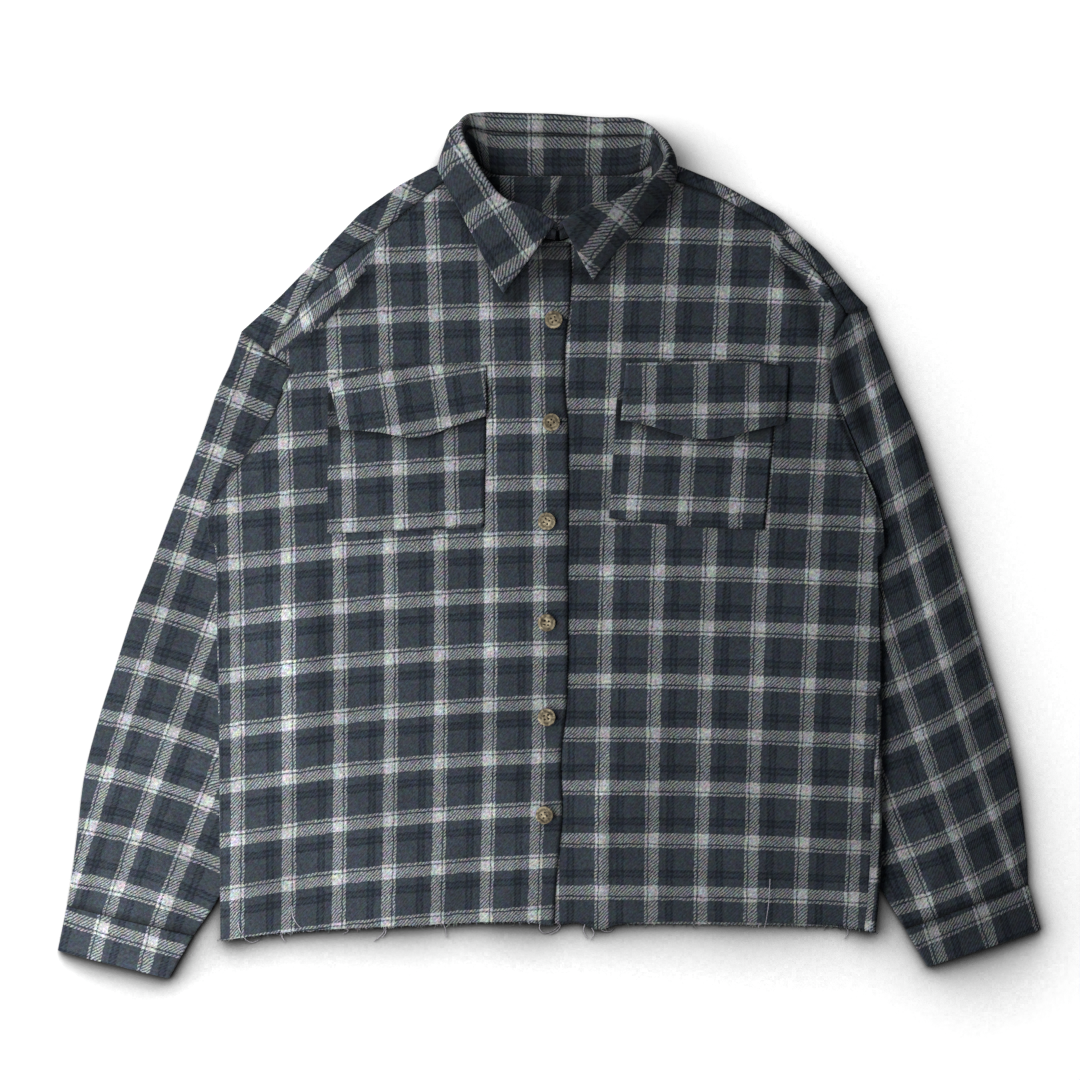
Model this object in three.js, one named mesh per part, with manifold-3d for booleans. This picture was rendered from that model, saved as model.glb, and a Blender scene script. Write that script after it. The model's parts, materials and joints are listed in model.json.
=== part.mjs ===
import * as THREE from 'three';
import { mergeVertices } from 'three/addons/utils/BufferGeometryUtils.js';
import Module from 'manifold-3d';

const wasm = await Module();
wasm.setup();

// A flannel shirt with a point collar, two flapped chest pockets and long sleeves.
// It lies flat on its back, fronts up, buttoned, with the sleeves down beside the body.
// Millimetres: +X to the viewer's right, +Y to the collar, +Z up off the surface.
// "Right" and "left" in the names are the wearer's, so the right front is on the -X side.

// Cloth
const CLOTH = 1.4;
const DOUBLE = 1.8;
const PATCH = 1.2;
const PLY = 2.1;
const SEAM = 0.6;
const FLOOR = CLOTH / 2;

// Body
const LIFT = 4.2;
const LIFT_START = 12;
const LIFT_RUN = 62;
const SIDE_INSET = 2;
const LAP = { from: -62, to: -38 };
const SIDE_ROWS = 12;

// Pockets, flaps and buttons, as heights above the panel below
const POCKET_RISE = 1.75;
const FLAP_RISE = 1.6;
const BUTTON = { radius: 7.5, thick: 3, hole: 0.85, pitch: 1.5, rise: 1.05 };

// Collar
const NOSE = 1.7;
const STAND_GAP = 1.8;
const COLLAR_STEPS = 30;

// Shoulder folds, seen from above, from the neck out to the sleeve
const SHOULDER = {
  right: [
    { x: -68, y: 341 }, { x: -97, y: 329 }, { x: -129, y: 312 }, { x: -163, y: 288 },
    { x: -198, y: 251 }, { x: -232, y: 216 }, { x: -264, y: 187 },
  ],
  left: [
    { x: 92, y: 336 }, { x: 109, y: 329 }, { x: 146, y: 314 }, { x: 194, y: 287 },
    { x: 232, y: 254 }, { x: 260, y: 221 }, { x: 273, y: 207 },
  ],
};

// Forward shoulder seams, where the yoke meets the fronts
const SHOULDER_SEAM = {
  right: [
    { x: -243, y: 170 }, { x: -224, y: 195 }, { x: -185, y: 238 },
    { x: -139, y: 276 }, { x: -93, y: 313 }, { x: -68, y: 327 },
  ],
  left: [
    { x: 256, y: 202 }, { x: 234, y: 231 }, { x: 194, y: 274 },
    { x: 146, y: 302 }, { x: 106, y: 316 }, { x: 92, y: 321 },
  ],
};

// Armhole seams, from the tip on the shoulder fold down to the armpit
const ARMHOLE = {
  right: [
    { x: -264, y: 187 }, { x: -243, y: 170 }, { x: -221, y: 154 }, { x: -229, y: 135 },
    { x: -237, y: 116 }, { x: -250, y: 92 }, { x: -269, y: 67 }, { x: -287, y: 44 },
    { x: -292, y: 25 }, { x: -291, y: 2 },
  ],
  left: [
    { x: 273, y: 207 }, { x: 256, y: 202 }, { x: 248, y: 191 }, { x: 242, y: 175 },
    { x: 241, y: 159 }, { x: 244, y: 137 }, { x: 251, y: 111 }, { x: 261, y: 86 },
    { x: 271, y: 62 }, { x: 279, y: 40 }, { x: 284, y: 19 }, { x: 286, y: -7 },
  ],
};

// Side edges from the armpit down to the hem
const SIDE = {
  right: [
    { x: -291, y: 2 }, { x: -289, y: -89 }, { x: -288, y: -175 },
    { x: -287, y: -261 }, { x: -286, y: -338 },
  ],
  left: [
    { x: 286, y: -7 }, { x: 288, y: -95 }, { x: 288, y: -267 },
    { x: 286, y: -300 }, { x: 283, y: -332 },
  ],
};

// Raw hems from the side edge to the centre front
const HEM = {
  right: [
    { x: -286, y: -338 }, { x: -224, y: -331 }, { x: -112, y: -325 },
    { x: -25, y: -322 }, { x: 3, y: -325 },
  ],
  left: [
    { x: 283, y: -332 }, { x: 260, y: -328 }, { x: 232, y: -325 }, { x: 61, y: -324 },
    { x: 42, y: -329 }, { x: 25, y: -323 }, { x: 9, y: -324 }, { x: -15, y: -323 },
  ],
};

// Front edges from the hem up to the neck: the right front's edge lies on top
const FRONT_EDGE = {
  right: [
    { x: 3, y: -325 }, { x: 5, y: -286 }, { x: 10, y: -231 }, { x: 9, y: -181 },
    { x: 14, y: -132 }, { x: 15, y: -11 }, { x: 15, y: 101 }, { x: 12, y: 146 },
    { x: 13, y: 176 }, { x: 18, y: 225 }, { x: 17, y: 261 },
  ],
  left: [{ x: -15, y: -323 }, { x: -15, y: 262 }],
};

// Seam between the yoke and the back, hidden on the underside
const YOKE_SEAM = [
  { x: -221, y: 154 }, { x: -163, y: 197 }, { x: -86, y: 226 }, { x: 5, y: 234 },
  { x: 95, y: 226 }, { x: 181, y: 200 }, { x: 241, y: 159 },
];

// Sleeves: a row per section, outer fold to inner fold; an open row ends on the armhole seam
const SLEEVE = {
  right: [
    { outer: [-265, 184.6], seam: 2, puff: 0 },
    { outer: [-275, 159], seam: 3, puff: 0.2 },
    { outer: [-286, 135], seam: 4, puff: 0.5 },
    { outer: [-298, 101], seam: 5, puff: 0.9 },
    { outer: [-312, 64], seam: 6, puff: 1.2 },
    { outer: [-322, 40], seam: 7, puff: 1.3 },
    { outer: [-329, 22], seam: 8, puff: 1.3 },
    { outer: [-337, 1], inner: [-279, -1], puff: 1.4 },
    { outer: [-347, -25], inner: [-248, -37], puff: 1.6 },
    { outer: [-358, -53], inner: [-229, -77], puff: 1.8 },
    { outer: [-374, -102], inner: [-224, -137], puff: 2 },
    { outer: [-389, -149], inner: [-234, -185], puff: 2.2 },
    { outer: [-401, -196], inner: [-253, -230], puff: 2.6 },
    { outer: [-407, -243], inner: [-270, -271], puff: 3 },
    { outer: [-412, -282], inner: [-289, -308], puff: 2.8 },
    { outer: [-416, -308], inner: [-307, -334], puff: 2.2 },
  ],
  left: [
    { outer: [273, 206], seam: 1, puff: 0 },
    { outer: [279, 191], seam: 2, puff: 0.1 },
    { outer: [284, 178], seam: 3, puff: 0.2 },
    { outer: [291, 161], seam: 4, puff: 0.4 },
    { outer: [299, 139], seam: 5, puff: 0.6 },
    { outer: [310, 114], seam: 6, puff: 0.9 },
    { outer: [320, 88], seam: 7, puff: 1.1 },
    { outer: [328, 62], seam: 8, puff: 1.3 },
    { outer: [336, 37], seam: 9, puff: 1.3 },
    { outer: [343, 16], seam: 10, puff: 1.3 },
    { outer: [351, -11], inner: [273, -13], puff: 1.4 },
    { outer: [360, -39], inner: [246, -44], puff: 1.6 },
    { outer: [369, -73], inner: [225, -87], puff: 1.8 },
    { outer: [381, -113], inner: [219, -136], puff: 2 },
    { outer: [393, -155], inner: [230, -184], puff: 2.2 },
    { outer: [402, -197], inner: [248, -226], puff: 2.6 },
    { outer: [408, -236], inner: [268, -266], puff: 3 },
    { outer: [411, -267], inner: [289, -301], puff: 2.8 },
    { outer: [412, -290], inner: [306, -329], puff: 2.2 },
  ],
};

// Cuffs: the end that meets the sleeve and the open end
const CUFF = {
  right: [
    { outer: [-416, -308], inner: [-307, -334] }, { outer: [-424, -347], inner: [-328, -371] },
  ],
  left: [
    { outer: [412, -290], inner: [306, -329] }, { outer: [423, -329], inner: [325, -361] },
  ],
};

// How far in the sleeve's inner fold lies under the body, at each height
const UNDER = {
  right: [
    { y: 92, x: -345 }, { y: 44, x: -308 }, { y: 25, x: -292 }, { y: -1, x: -279 },
    { y: -37, x: -248 }, { y: -77, x: -229 }, { y: -137, x: -224 }, { y: -185, x: -234 },
    { y: -230, x: -253 }, { y: -271, x: -270 }, { y: -308, x: -289 }, { y: -340, x: -308 },
  ],
  left: [
    { y: 86, x: 335 }, { y: 40, x: 300 }, { y: 19, x: 284 }, { y: -13, x: 273 },
    { y: -44, x: 246 }, { y: -87, x: 225 }, { y: -136, x: 219 }, { y: -184, x: 230 },
    { y: -226, x: 248 }, { y: -266, x: 268 }, { y: -301, x: 289 }, { y: -332, x: 308 },
  ],
};

// Soft rises of the upper cloth: centre, half length, half width, turn in degrees, height
const RISES = [
  { x: 5, y: 300, long: 95, wide: 95, turn: 0, high: 4.2 },
  { x: -130, y: 40, long: 150, wide: 80, turn: 90, high: 1.2 },
  { x: 150, y: 30, long: 150, wide: 80, turn: 90, high: 1.2 },
  { x: -120, y: -190, long: 120, wide: 90, turn: 80, high: 0.9 },
  { x: 150, y: -190, long: 120, wide: 90, turn: 100, high: 0.9 },
  { x: -185, y: 225, long: 60, wide: 26, turn: 55, high: 1.5 },
  { x: 225, y: 215, long: 60, wide: 26, turn: 125, high: 1.5 },
];

// Collar: a row per section from one front end around the back to the other front end.
// neck and roll are the stand's foot and the fold line, edge is the free edge of the fall,
// level is 0 on the under layer and 1 on the upper, seam is the stand's share of the way up.
const COLLAR = [
  { neck: [4, 264], roll: [5, 277, 15], edge: [-40, 218, 9.8], level: 1, seam: 0.7, bow: 1 },
  { neck: [-20, 270], roll: [-17, 290, 17], edge: [-53, 241, 9.6], level: 1, seam: 0.74, bow: 2 },
  { neck: [-43, 283], roll: [-39, 297, 19], edge: [-65, 265, 9], level: 1, seam: 0.78, bow: 2 },
  { neck: [-57, 301], roll: [-55, 314, 21], edge: [-78, 290, 9], level: 1, seam: 0.8, bow: 2 },
  { neck: [-63, 316], roll: [-67, 333, 22], edge: [-89, 310, 8.5], level: 1, seam: 0.8, bow: 2 },
  { neck: [-65, 328], roll: [-74, 347, 21.5], edge: [-96, 328, 8], level: 0.9, seam: 0.8, bow: 3 },
  { neck: [-65, 337], roll: [-77, 360, 18], edge: [-82, 341, 5.5], level: 0.5, seam: 0.8, bow: 7 },
  { neck: [-59, 329], roll: [-71, 370, 11], edge: [-71, 347, 2], level: 0.15, seam: 0.76, bow: 2 },
  { neck: [-50, 322], roll: [-57, 373, 6.2], edge: [-57, 345, 1], level: 0, seam: 0.72, bow: 0 },
  { neck: [-30, 320], roll: [-33, 373, 4.4], edge: [-33, 344, 0.9], level: 0, seam: 0.7, bow: 0 },
  { neck: [5, 320], roll: [5, 372, 4.2], edge: [5, 343, 0.9], level: 0, seam: 0.7, bow: 0 },
  { neck: [43, 320], roll: [45, 369, 4.4], edge: [43, 343, 0.9], level: 0, seam: 0.7, bow: 0 },
  { neck: [67, 321], roll: [71, 368, 6.2], edge: [69, 344, 1], level: 0, seam: 0.72, bow: 0 },
  { neck: [79, 325], roll: [84, 362, 11], edge: [83, 341, 2], level: 0.15, seam: 0.76, bow: 2 },
  { neck: [86, 330], roll: [94, 350, 18], edge: [97, 335, 5.5], level: 0.5, seam: 0.8, bow: 5 },
  { neck: [88, 322], roll: [101, 335, 21.5], edge: [108, 325, 8], level: 0.9, seam: 0.8, bow: 2 },
  { neck: [83, 310], roll: [91, 317, 22], edge: [104, 306, 8.5], level: 1, seam: 0.8, bow: 2 },
  { neck: [67, 297], roll: [72, 305, 21], edge: [86, 286, 9], level: 1, seam: 0.8, bow: 2 },
  { neck: [50, 284], roll: [55, 295, 19], edge: [69, 267, 9], level: 1, seam: 0.78, bow: 2 },
  { neck: [28, 272], roll: [34, 292, 17], edge: [51, 248, 8.5], level: 1, seam: 0.74, bow: 2 },
  { neck: [9, 264], roll: [9.5, 277, 15], edge: [37, 230, 7.6], level: 1, seam: 0.7, bow: 1 },
];
const NECK_CENTRE = { x: 10, y: 305 };

// Pockets and flaps: top, bottom and side outlines
const POCKET = {
  right: { top: [[-191, 132], [-55, 133]], bottom: [[-191, 12], [-138, 14], [-57, 17]] },
  left: { top: [[58, 133], [195, 133]], bottom: [[51, 25], [105, 19], [184, 15]] },
};
const FLAP = {
  right: {
    top: [[-190, 144], [-144, 155], [-99, 157], [-55, 156]],
    bottom: [[-180, 101], [-149, 99], [-113, 94], [-86, 103], [-55, 113]],
  },
  left: {
    top: [[66, 158], [131, 160], [180, 158], [205, 155]],
    bottom: [[61, 109], [83, 105], [110, 97], [137, 93], [177, 101], [202, 107]],
  },
};
const BUTTONS = [
  { x: 3, y: 195 }, { x: 1, y: 107 }, { x: -3, y: 22 },
  { x: -3, y: -65 }, { x: -3, y: -146 }, { x: -5, y: -230 },
];

const clamp = THREE.MathUtils.clamp;
const lerp = THREE.MathUtils.lerp;
const smooth = THREE.MathUtils.smoothstep;

// Value of column "to" at a value of column "by" in a table
function look(rows, by, to, at) {
  const list = [...rows].sort((a, b) => a[by] - b[by]);
  let i = 1;
  while (i < list.length - 1 && list[i][by] < at) i += 1;
  const share = clamp((at - list[i - 1][by]) / (list[i][by] - list[i - 1][by]), 0, 1);
  return lerp(list[i - 1][to], list[i][to], share);
}

const flat = (p) => (Array.isArray(p) ? new THREE.Vector3(p[0], p[1], 0) : new THREE.Vector3(p.x, p.y, 0));

// Evenly spaced points on a smooth curve through the rows of a table
function along(rows, steps) {
  const points = rows.map(flat);
  if (points.length === 2) {
    return Array.from({ length: steps + 1 }, (_, i) => points[0].clone().lerp(points[1], i / steps));
  }
  const curve = new THREE.CatmullRomCurve3(points, false, 'centripetal');
  curve.arcLengthDivisions = 400;
  return curve.getSpacedPoints(steps);
}

// Points moved sideways in plan, to the right of the way they run
function aside(points, by) {
  return points.map((p, i) => {
    const before = points[Math.max(0, i - 1)];
    const after = points[Math.min(points.length - 1, i + 1)];
    const way = after.clone().sub(before).normalize();
    return new THREE.Vector3(p.x + way.y * by, p.y - way.x * by, 0);
  });
}

// Height of the cloth's middle on the under layer, raised where it lies on a sleeve
function lower(x, y) {
  const inRight = x - look(UNDER.right, 'y', 'x', y);
  const inLeft = look(UNDER.left, 'y', 'x', y) - x;
  const reach = Math.min(inRight, inLeft);
  return FLOOR + LIFT * (1 - smooth(reach, LIFT_START, LIFT_RUN));
}

function rises(x, y) {
  let sum = 0.5;
  for (const r of RISES) {
    const a = THREE.MathUtils.degToRad(r.turn);
    const u = (x - r.x) * Math.cos(a) + (y - r.y) * Math.sin(a);
    const v = (y - r.y) * Math.cos(a) - (x - r.x) * Math.sin(a);
    sum += r.high * Math.exp(-((u / r.long) ** 2) - (v / r.wide) ** 2);
  }
  return sum;
}

const upper = (x, y) => lower(x, y) + PLY + rises(x, y);
const onRightFront = (x, y) => upper(x, y) + PLY * smooth(x, LAP.from, LAP.to);
const onFront = { right: onRightFront, left: upper };

// A sheet of cloth: its middle surface, then a wall of even thickness around it
class Sheet {
  constructor() {
    this.points = [];
    this.faces = [];
  }

  add(x, y, z) {
    return this.points.push(new THREE.Vector3(x, y, z)) - 1;
  }

  quad(a, b, c, d) {
    this.faces.push([a, b, c], [a, c, d]);
  }

  // Rows of point numbers, joined row to row; a ring closes each row on itself
  join(rows, ring = false) {
    for (let j = 0; j < rows.length - 1; j += 1) {
      const count = ring ? rows[j].length : rows[j].length - 1;
      for (let i = 0; i < count; i += 1) {
        const k = (i + 1) % rows[j].length;
        this.quad(rows[j][i], rows[j][k], rows[j + 1][k], rows[j + 1][i]);
      }
    }
  }

  solid(wall) {
    const normals = this.points.map(() => new THREE.Vector3());
    const face = new THREE.Vector3();
    const side = new THREE.Vector3();
    for (const [a, b, c] of this.faces) {
      face.subVectors(this.points[b], this.points[a]);
      side.subVectors(this.points[c], this.points[a]);
      face.cross(side);
      for (const i of [a, b, c]) normals[i].add(face);
    }
    normals.forEach((n) => n.normalize());
    const count = this.points.length;
    const position = [];
    for (const way of [0.5, -0.5]) {
      this.points.forEach((p, i) => {
        const q = p.clone().addScaledVector(normals[i], wall * way);
        position.push(q.x, q.y, q.z);
      });
    }
    const index = [];
    const edges = new Set(this.faces.flatMap(([a, b, c]) => [`${a}_${b}`, `${b}_${c}`, `${c}_${a}`]));
    for (const [a, b, c] of this.faces) {
      index.push(a, b, c, c + count, b + count, a + count);
      for (const [p, q] of [[a, b], [b, c], [c, a]]) {
        if (!edges.has(`${q}_${p}`)) {
          index.push(p + count, q + count, q, p + count, q, p);
        }
      }
    }
    const geometry = new THREE.BufferGeometry();
    geometry.setAttribute('position', new THREE.Float32BufferAttribute(position, 3));
    geometry.setIndex(index);
    return geometry;
  }
}

// Plan grid between four outlines that meet at their ends
function patch(bottom, top, left, right) {
  const columns = bottom.length - 1;
  const rows = left.length - 1;
  const grid = [];
  for (let j = 0; j <= rows; j += 1) {
    const v = j / rows;
    const row = [];
    for (let i = 0; i <= columns; i += 1) {
      const u = i / columns;
      const p = new THREE.Vector3();
      p.addScaledVector(bottom[i], 1 - v).addScaledVector(top[i], v);
      p.addScaledVector(left[j], 1 - u).addScaledVector(right[j], u);
      p.addScaledVector(bottom[0], -(1 - u) * (1 - v)).addScaledVector(bottom[columns], -u * (1 - v));
      p.addScaledVector(top[0], -(1 - u) * v).addScaledVector(top[columns], -u * v);
      row.push(p);
    }
    grid.push(row);
  }
  return grid;
}

const group = new THREE.Group();
const COLOURS = {
  plaid: 0x59626b,
  yoke: 0x535c65,
  trim: 0x626b73,
  horn: 0xb59a72,
};

function put(name, geometry, colour, roughness = 0.95) {
  const mesh = new THREE.Mesh(
    geometry,
    new THREE.MeshStandardMaterial({ color: colour, roughness, metalness: 0 }),
  );
  mesh.name = name;
  group.add(mesh);
  return mesh;
}

const WAY = { right: 1, left: -1 };
const yokeSeam = along(YOKE_SEAM, 22);
const seamPoints = {};
const armPoints = {};
for (const side of ['right', 'left']) {
  seamPoints[side] = along(SHOULDER_SEAM[side], 8);
  armPoints[side] = ARMHOLE[side].map(flat);
}

// Side edge and armhole of a body panel, from the hem up to armhole point "last"
function bodyEdge(side, last) {
  const down = along(SIDE[side], SIDE_ROWS).reverse();
  const inset = SIDE_INSET * WAY[side];
  const lowerPart = down.map((p) => new THREE.Vector3(p.x + inset, p.y, 0));
  const arm = armPoints[side].slice(last, -1).reverse();
  return [...lowerPart, ...arm];
}

// Back panel, from the hem up to the yoke
{
  const left = bodyEdge('right', 2);
  const right = bodyEdge('left', 4);
  const rows = Math.max(left.length, right.length);
  const fit = (edge) => along(edge, rows - 1);
  const leftRows = left.length === rows ? left : fit(left);
  const rightRows = right.length === rows ? right : fit(right);
  const hem = along([HEM.right[0], HEM.right[1], HEM.right[2], { x: 0, y: -322 }, HEM.left[3], HEM.left[1], HEM.left[0]], 22);
  hem[0].copy(leftRows[0]);
  hem[22].copy(rightRows[0]);
  const top = yokeSeam.map((p) => new THREE.Vector3(p.x, p.y - SEAM, 0));
  leftRows[rows - 1].copy(top[0]);
  rightRows[rows - 1].copy(top[22]);
  const sheet = new Sheet();
  const grid = patch(hem, top, leftRows, rightRows);
  sheet.join(grid.map((row) => row.map((p) => sheet.add(p.x, p.y, lower(p.x, p.y)))));
  put('back', sheet.solid(CLOTH), COLOURS.plaid);
}

// Fronts: the side edge is turned down over the back's edge
for (const side of ['right', 'left']) {
  const way = WAY[side];
  const height = onFront[side];
  const neck = COLLAR.filter((row) => row.level === 1 && row.neck[0] * way < 6 * way);
  const foot = (side === 'right' ? [...neck].reverse() : neck).map((row) => flat(row.neck));
  const neckline = aside(foot, -STAND_GAP * -way);
  const corner = side === 'right' ? [17, 261] : [-15, 262];
  const seam = seamPoints[side].map((p) => new THREE.Vector3(p.x, p.y - 0.8, 0));
  const top = [...seam, ...neckline, flat(corner)];
  const edge = bodyEdge(side, 1);
  edge[edge.length - 1].copy(top[0]);
  const hem = along(HEM[side], top.length - 1);
  hem[0].copy(edge[0]);
  const open = along(FRONT_EDGE[side], edge.length - 1);
  open[open.length - 1].copy(top[top.length - 1]);
  hem[hem.length - 1].copy(open[0]);
  const grid = patch(hem, top, edge, open);
  const sheet = new Sheet();
  const numbers = grid.map((row) => row.map((p) => sheet.add(p.x, p.y, height(p.x, p.y))));
  const rim = numbers.slice(0, SIDE_ROWS + 1).map((row, j) => {
    const p = grid[j][0];
    const x = p.x - way * (SIDE_INSET - CLOTH / 2);
    const high = height(p.x, p.y);
    const low = lower(p.x, p.y) - 0.2;
    return [sheet.add(x, p.y, low), sheet.add(x, p.y, high - 1.1), row[0]];
  });
  if (side === 'left') {
    numbers.forEach((row) => row.reverse());
    rim.forEach((row) => row.reverse());
  }
  sheet.join(numbers);
  sheet.join(rim);
  put(`front_${side}`, sheet.solid(CLOTH), COLOURS.plaid);
}

// Yoke: one under layer across the shoulders, folded over both shoulder lines to the fronts
{
  const sheet = new Sheet();
  const neckBack = COLLAR.filter((row) => row.level < 0.5).map((row) => ({ x: row.neck[0], y: row.neck[1] }));
  const underEdge = [
    ...armPoints.right.slice(0, 2), ...yokeSeam, ...armPoints.left.slice(0, 4),
  ];
  const columns = [];
  const rightColumns = [{ x: -260.5 }, { x: -253 }, ...seamPoints.right.map((p) => ({ x: p.x, y: p.y }))];
  rightColumns.splice(3, 0, { x: -221 });
  const leftColumns = [...seamPoints.left].reverse().map((p) => ({ x: p.x, y: p.y }));
  leftColumns.push({ x: 242.5 }, { x: 248 }, { x: 262 }, { x: 269.5 });
  leftColumns.sort((a, b) => a.x - b.x);
  for (const c of [...rightColumns].sort((a, b) => a.x - b.x)) columns.push({ ...c, side: 'right' });
  for (const x of [-60, -50, -30, -12, 5, 24, 43, 60, 71, 81]) columns.push({ x });
  for (const c of leftColumns) columns.push({ ...c, side: 'left' });
  const under = [];
  const over = [];
  for (const c of columns) {
    const foot = look(underEdge, 'x', 'y', c.x) + 0.8;
    const list = [];
    if (c.side) {
      const fold = look(SHOULDER[c.side], 'x', 'y', c.x) - CLOTH / 2;
      const seam = c.y ?? look([...SHOULDER_SEAM[c.side], ARMHOLE[c.side][0]], 'x', 'y', c.x);
      const end = Math.min(seam + 0.8, fold - 2.5);
      const high = upper(c.x, fold);
      const bend = Math.min((high - FLOOR) * 0.45, (fold - foot) * 0.3);
      const top = fold - bend;
      for (let k = 0; k <= 4; k += 1) list.push(sheet.add(c.x, lerp(foot, top, k / 4), FLOOR));
      const strip = [list[4], sheet.add(c.x, fold, (high + FLOOR) / 2), sheet.add(c.x, top, high)];
      for (let k = 1; k <= 2; k += 1) {
        const y = lerp(top, Math.min(end, top - 0.6), k / 2);
        strip.push(sheet.add(c.x, y, upper(c.x, y)));
      }
      over.push({ side: c.side, strip });
    } else {
      const top = look(neckBack, 'x', 'y', c.x) - STAND_GAP * 0.9;
      for (let k = 0; k <= 4; k += 1) list.push(sheet.add(c.x, lerp(foot, top, k / 4), FLOOR));
    }
    under.push(list);
  }
  sheet.join(under.map((list) => [...list].reverse()));
  for (const side of ['right', 'left']) {
    sheet.join(over.filter((o) => o.side === side).map((o) => [...o.strip].reverse()));
  }
  sheet.faces.forEach((f) => f.reverse());
  put('yoke', sheet.solid(CLOTH), COLOURS.yoke);
}

// A flattened tube of cloth, a ring per row; open rows leave a mouth along the armhole
function tube(name, rows, wall, topAt, colour) {
  const sheet = new Sheet();
  const ACROSS = 6;
  const rings = rows.map((row) => {
    const inner = flat(row.inner);
    const outer = flat(row.outer);
    const width = inner.distanceTo(outer);
    const at = (distance) => inner.clone().lerp(outer, distance / width);
    const floor = wall / 2;
    const outerTop = topAt(at(width - 3), 0.98, row);
    const bendOut = (outerTop - floor) * 0.4 + wall / 2;
    const innerTop = topAt(at(3), 0.02, row);
    const bendIn = row.open ? 0 : (innerTop - floor) * 0.4 + wall / 2;
    const low = [];
    const high = [];
    for (let k = 0; k <= ACROSS; k += 1) {
      const d = lerp(bendIn, width - bendOut, k / ACROSS);
      const p = at(d);
      low.push(sheet.add(p.x, p.y, floor));
      high.push(sheet.add(p.x, p.y, topAt(p, d / width, row)));
    }
    const tip = at(width - wall / 2);
    const nose = sheet.add(tip.x, tip.y, (outerTop + floor) / 2);
    const list = [...low, nose, ...high.reverse()];
    if (!row.open) {
      const back = at(wall / 2);
      list.push(sheet.add(back.x, back.y, (innerTop + floor) / 2));
    }
    return list;
  });
  for (let j = 0; j < rings.length - 1; j += 1) {
    const a = rings[j];
    const b = rings[j + 1];
    const span = 2 * ACROSS + 2;
    sheet.join([a.slice(0, span + 1), b.slice(0, span + 1)]);
    if (!rows[j].open && !rows[j + 1].open) {
      const last = span + 1;
      sheet.quad(a[span], a[last], b[last], b[span]);
      sheet.quad(a[last], a[0], b[0], b[last]);
    } else if (rows[j].open && !rows[j + 1].open) {
      const last = span + 1;
      sheet.faces.push([a[span], b[last], b[span]], [a[0], b[0], b[last]]);
    }
  }
  return { sheet, name, colour, wall };
}

for (const side of ['right', 'left']) {
  const way = WAY[side];
  const arm = aside(armPoints[side], SEAM * 2 * way);
  const bodySide = (y) => look([...SIDE[side], ...ARMHOLE[side].slice(4)], 'y', 'x', y);
  const rows = SLEEVE[side].map((row) => {
    if (row.seam === undefined) return row;
    const p = arm[row.seam];
    if (row === SLEEVE[side][0]) p.y -= SEAM;
    return { ...row, inner: [p.x, p.y], open: true };
  });
  const topAt = (p, share, row) => {
    const out = (bodySide(p.y) - p.x) * way;
    const pit = armPoints[side].at(-1).y;
    const bare = row.open ? smooth(p.y, pit, pit + 60) : smooth(out, 20, 45);
    const puff = row.puff * Math.sin(Math.PI * clamp(share, 0, 1));
    return FLOOR + PLY + bare * (rises(p.x, p.y) + puff - 0.1) + 0.1;
  };
  const sleeve = tube(`sleeve_${side}`, rows, CLOTH, topAt, COLOURS.plaid);
  if (side === 'right') sleeve.sheet.faces.forEach((f) => f.reverse());
  put(sleeve.name, sleeve.sheet.solid(CLOTH), COLOURS.plaid);

  const [start, end] = CUFF[side];
  const length = flat(start.outer).distanceTo(flat(end.outer));
  const between = (t) => {
    const outer = flat(start.outer).lerp(flat(end.outer), t);
    const inner = flat(start.inner).lerp(flat(end.inner), t);
    return { outer: [outer.x, outer.y], inner: [inner.x, inner.y], puff: lerp(2, 1.4, t) };
  };
  const cuffRows = [SEAM * 1.4 / length, 0.35, 0.7, 1].map(between);
  const cuffTop = (p, share, row) => DOUBLE / 2 + PLY + 0.5 + row.puff * Math.sin(Math.PI * share);
  const cuff = tube(`cuff_${side}`, cuffRows, DOUBLE, cuffTop, COLOURS.trim);
  if (side === 'right') cuff.sheet.faces.forEach((f) => f.reverse());
  put(cuff.name, cuff.sheet.solid(DOUBLE), COLOURS.trim);
}

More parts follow.
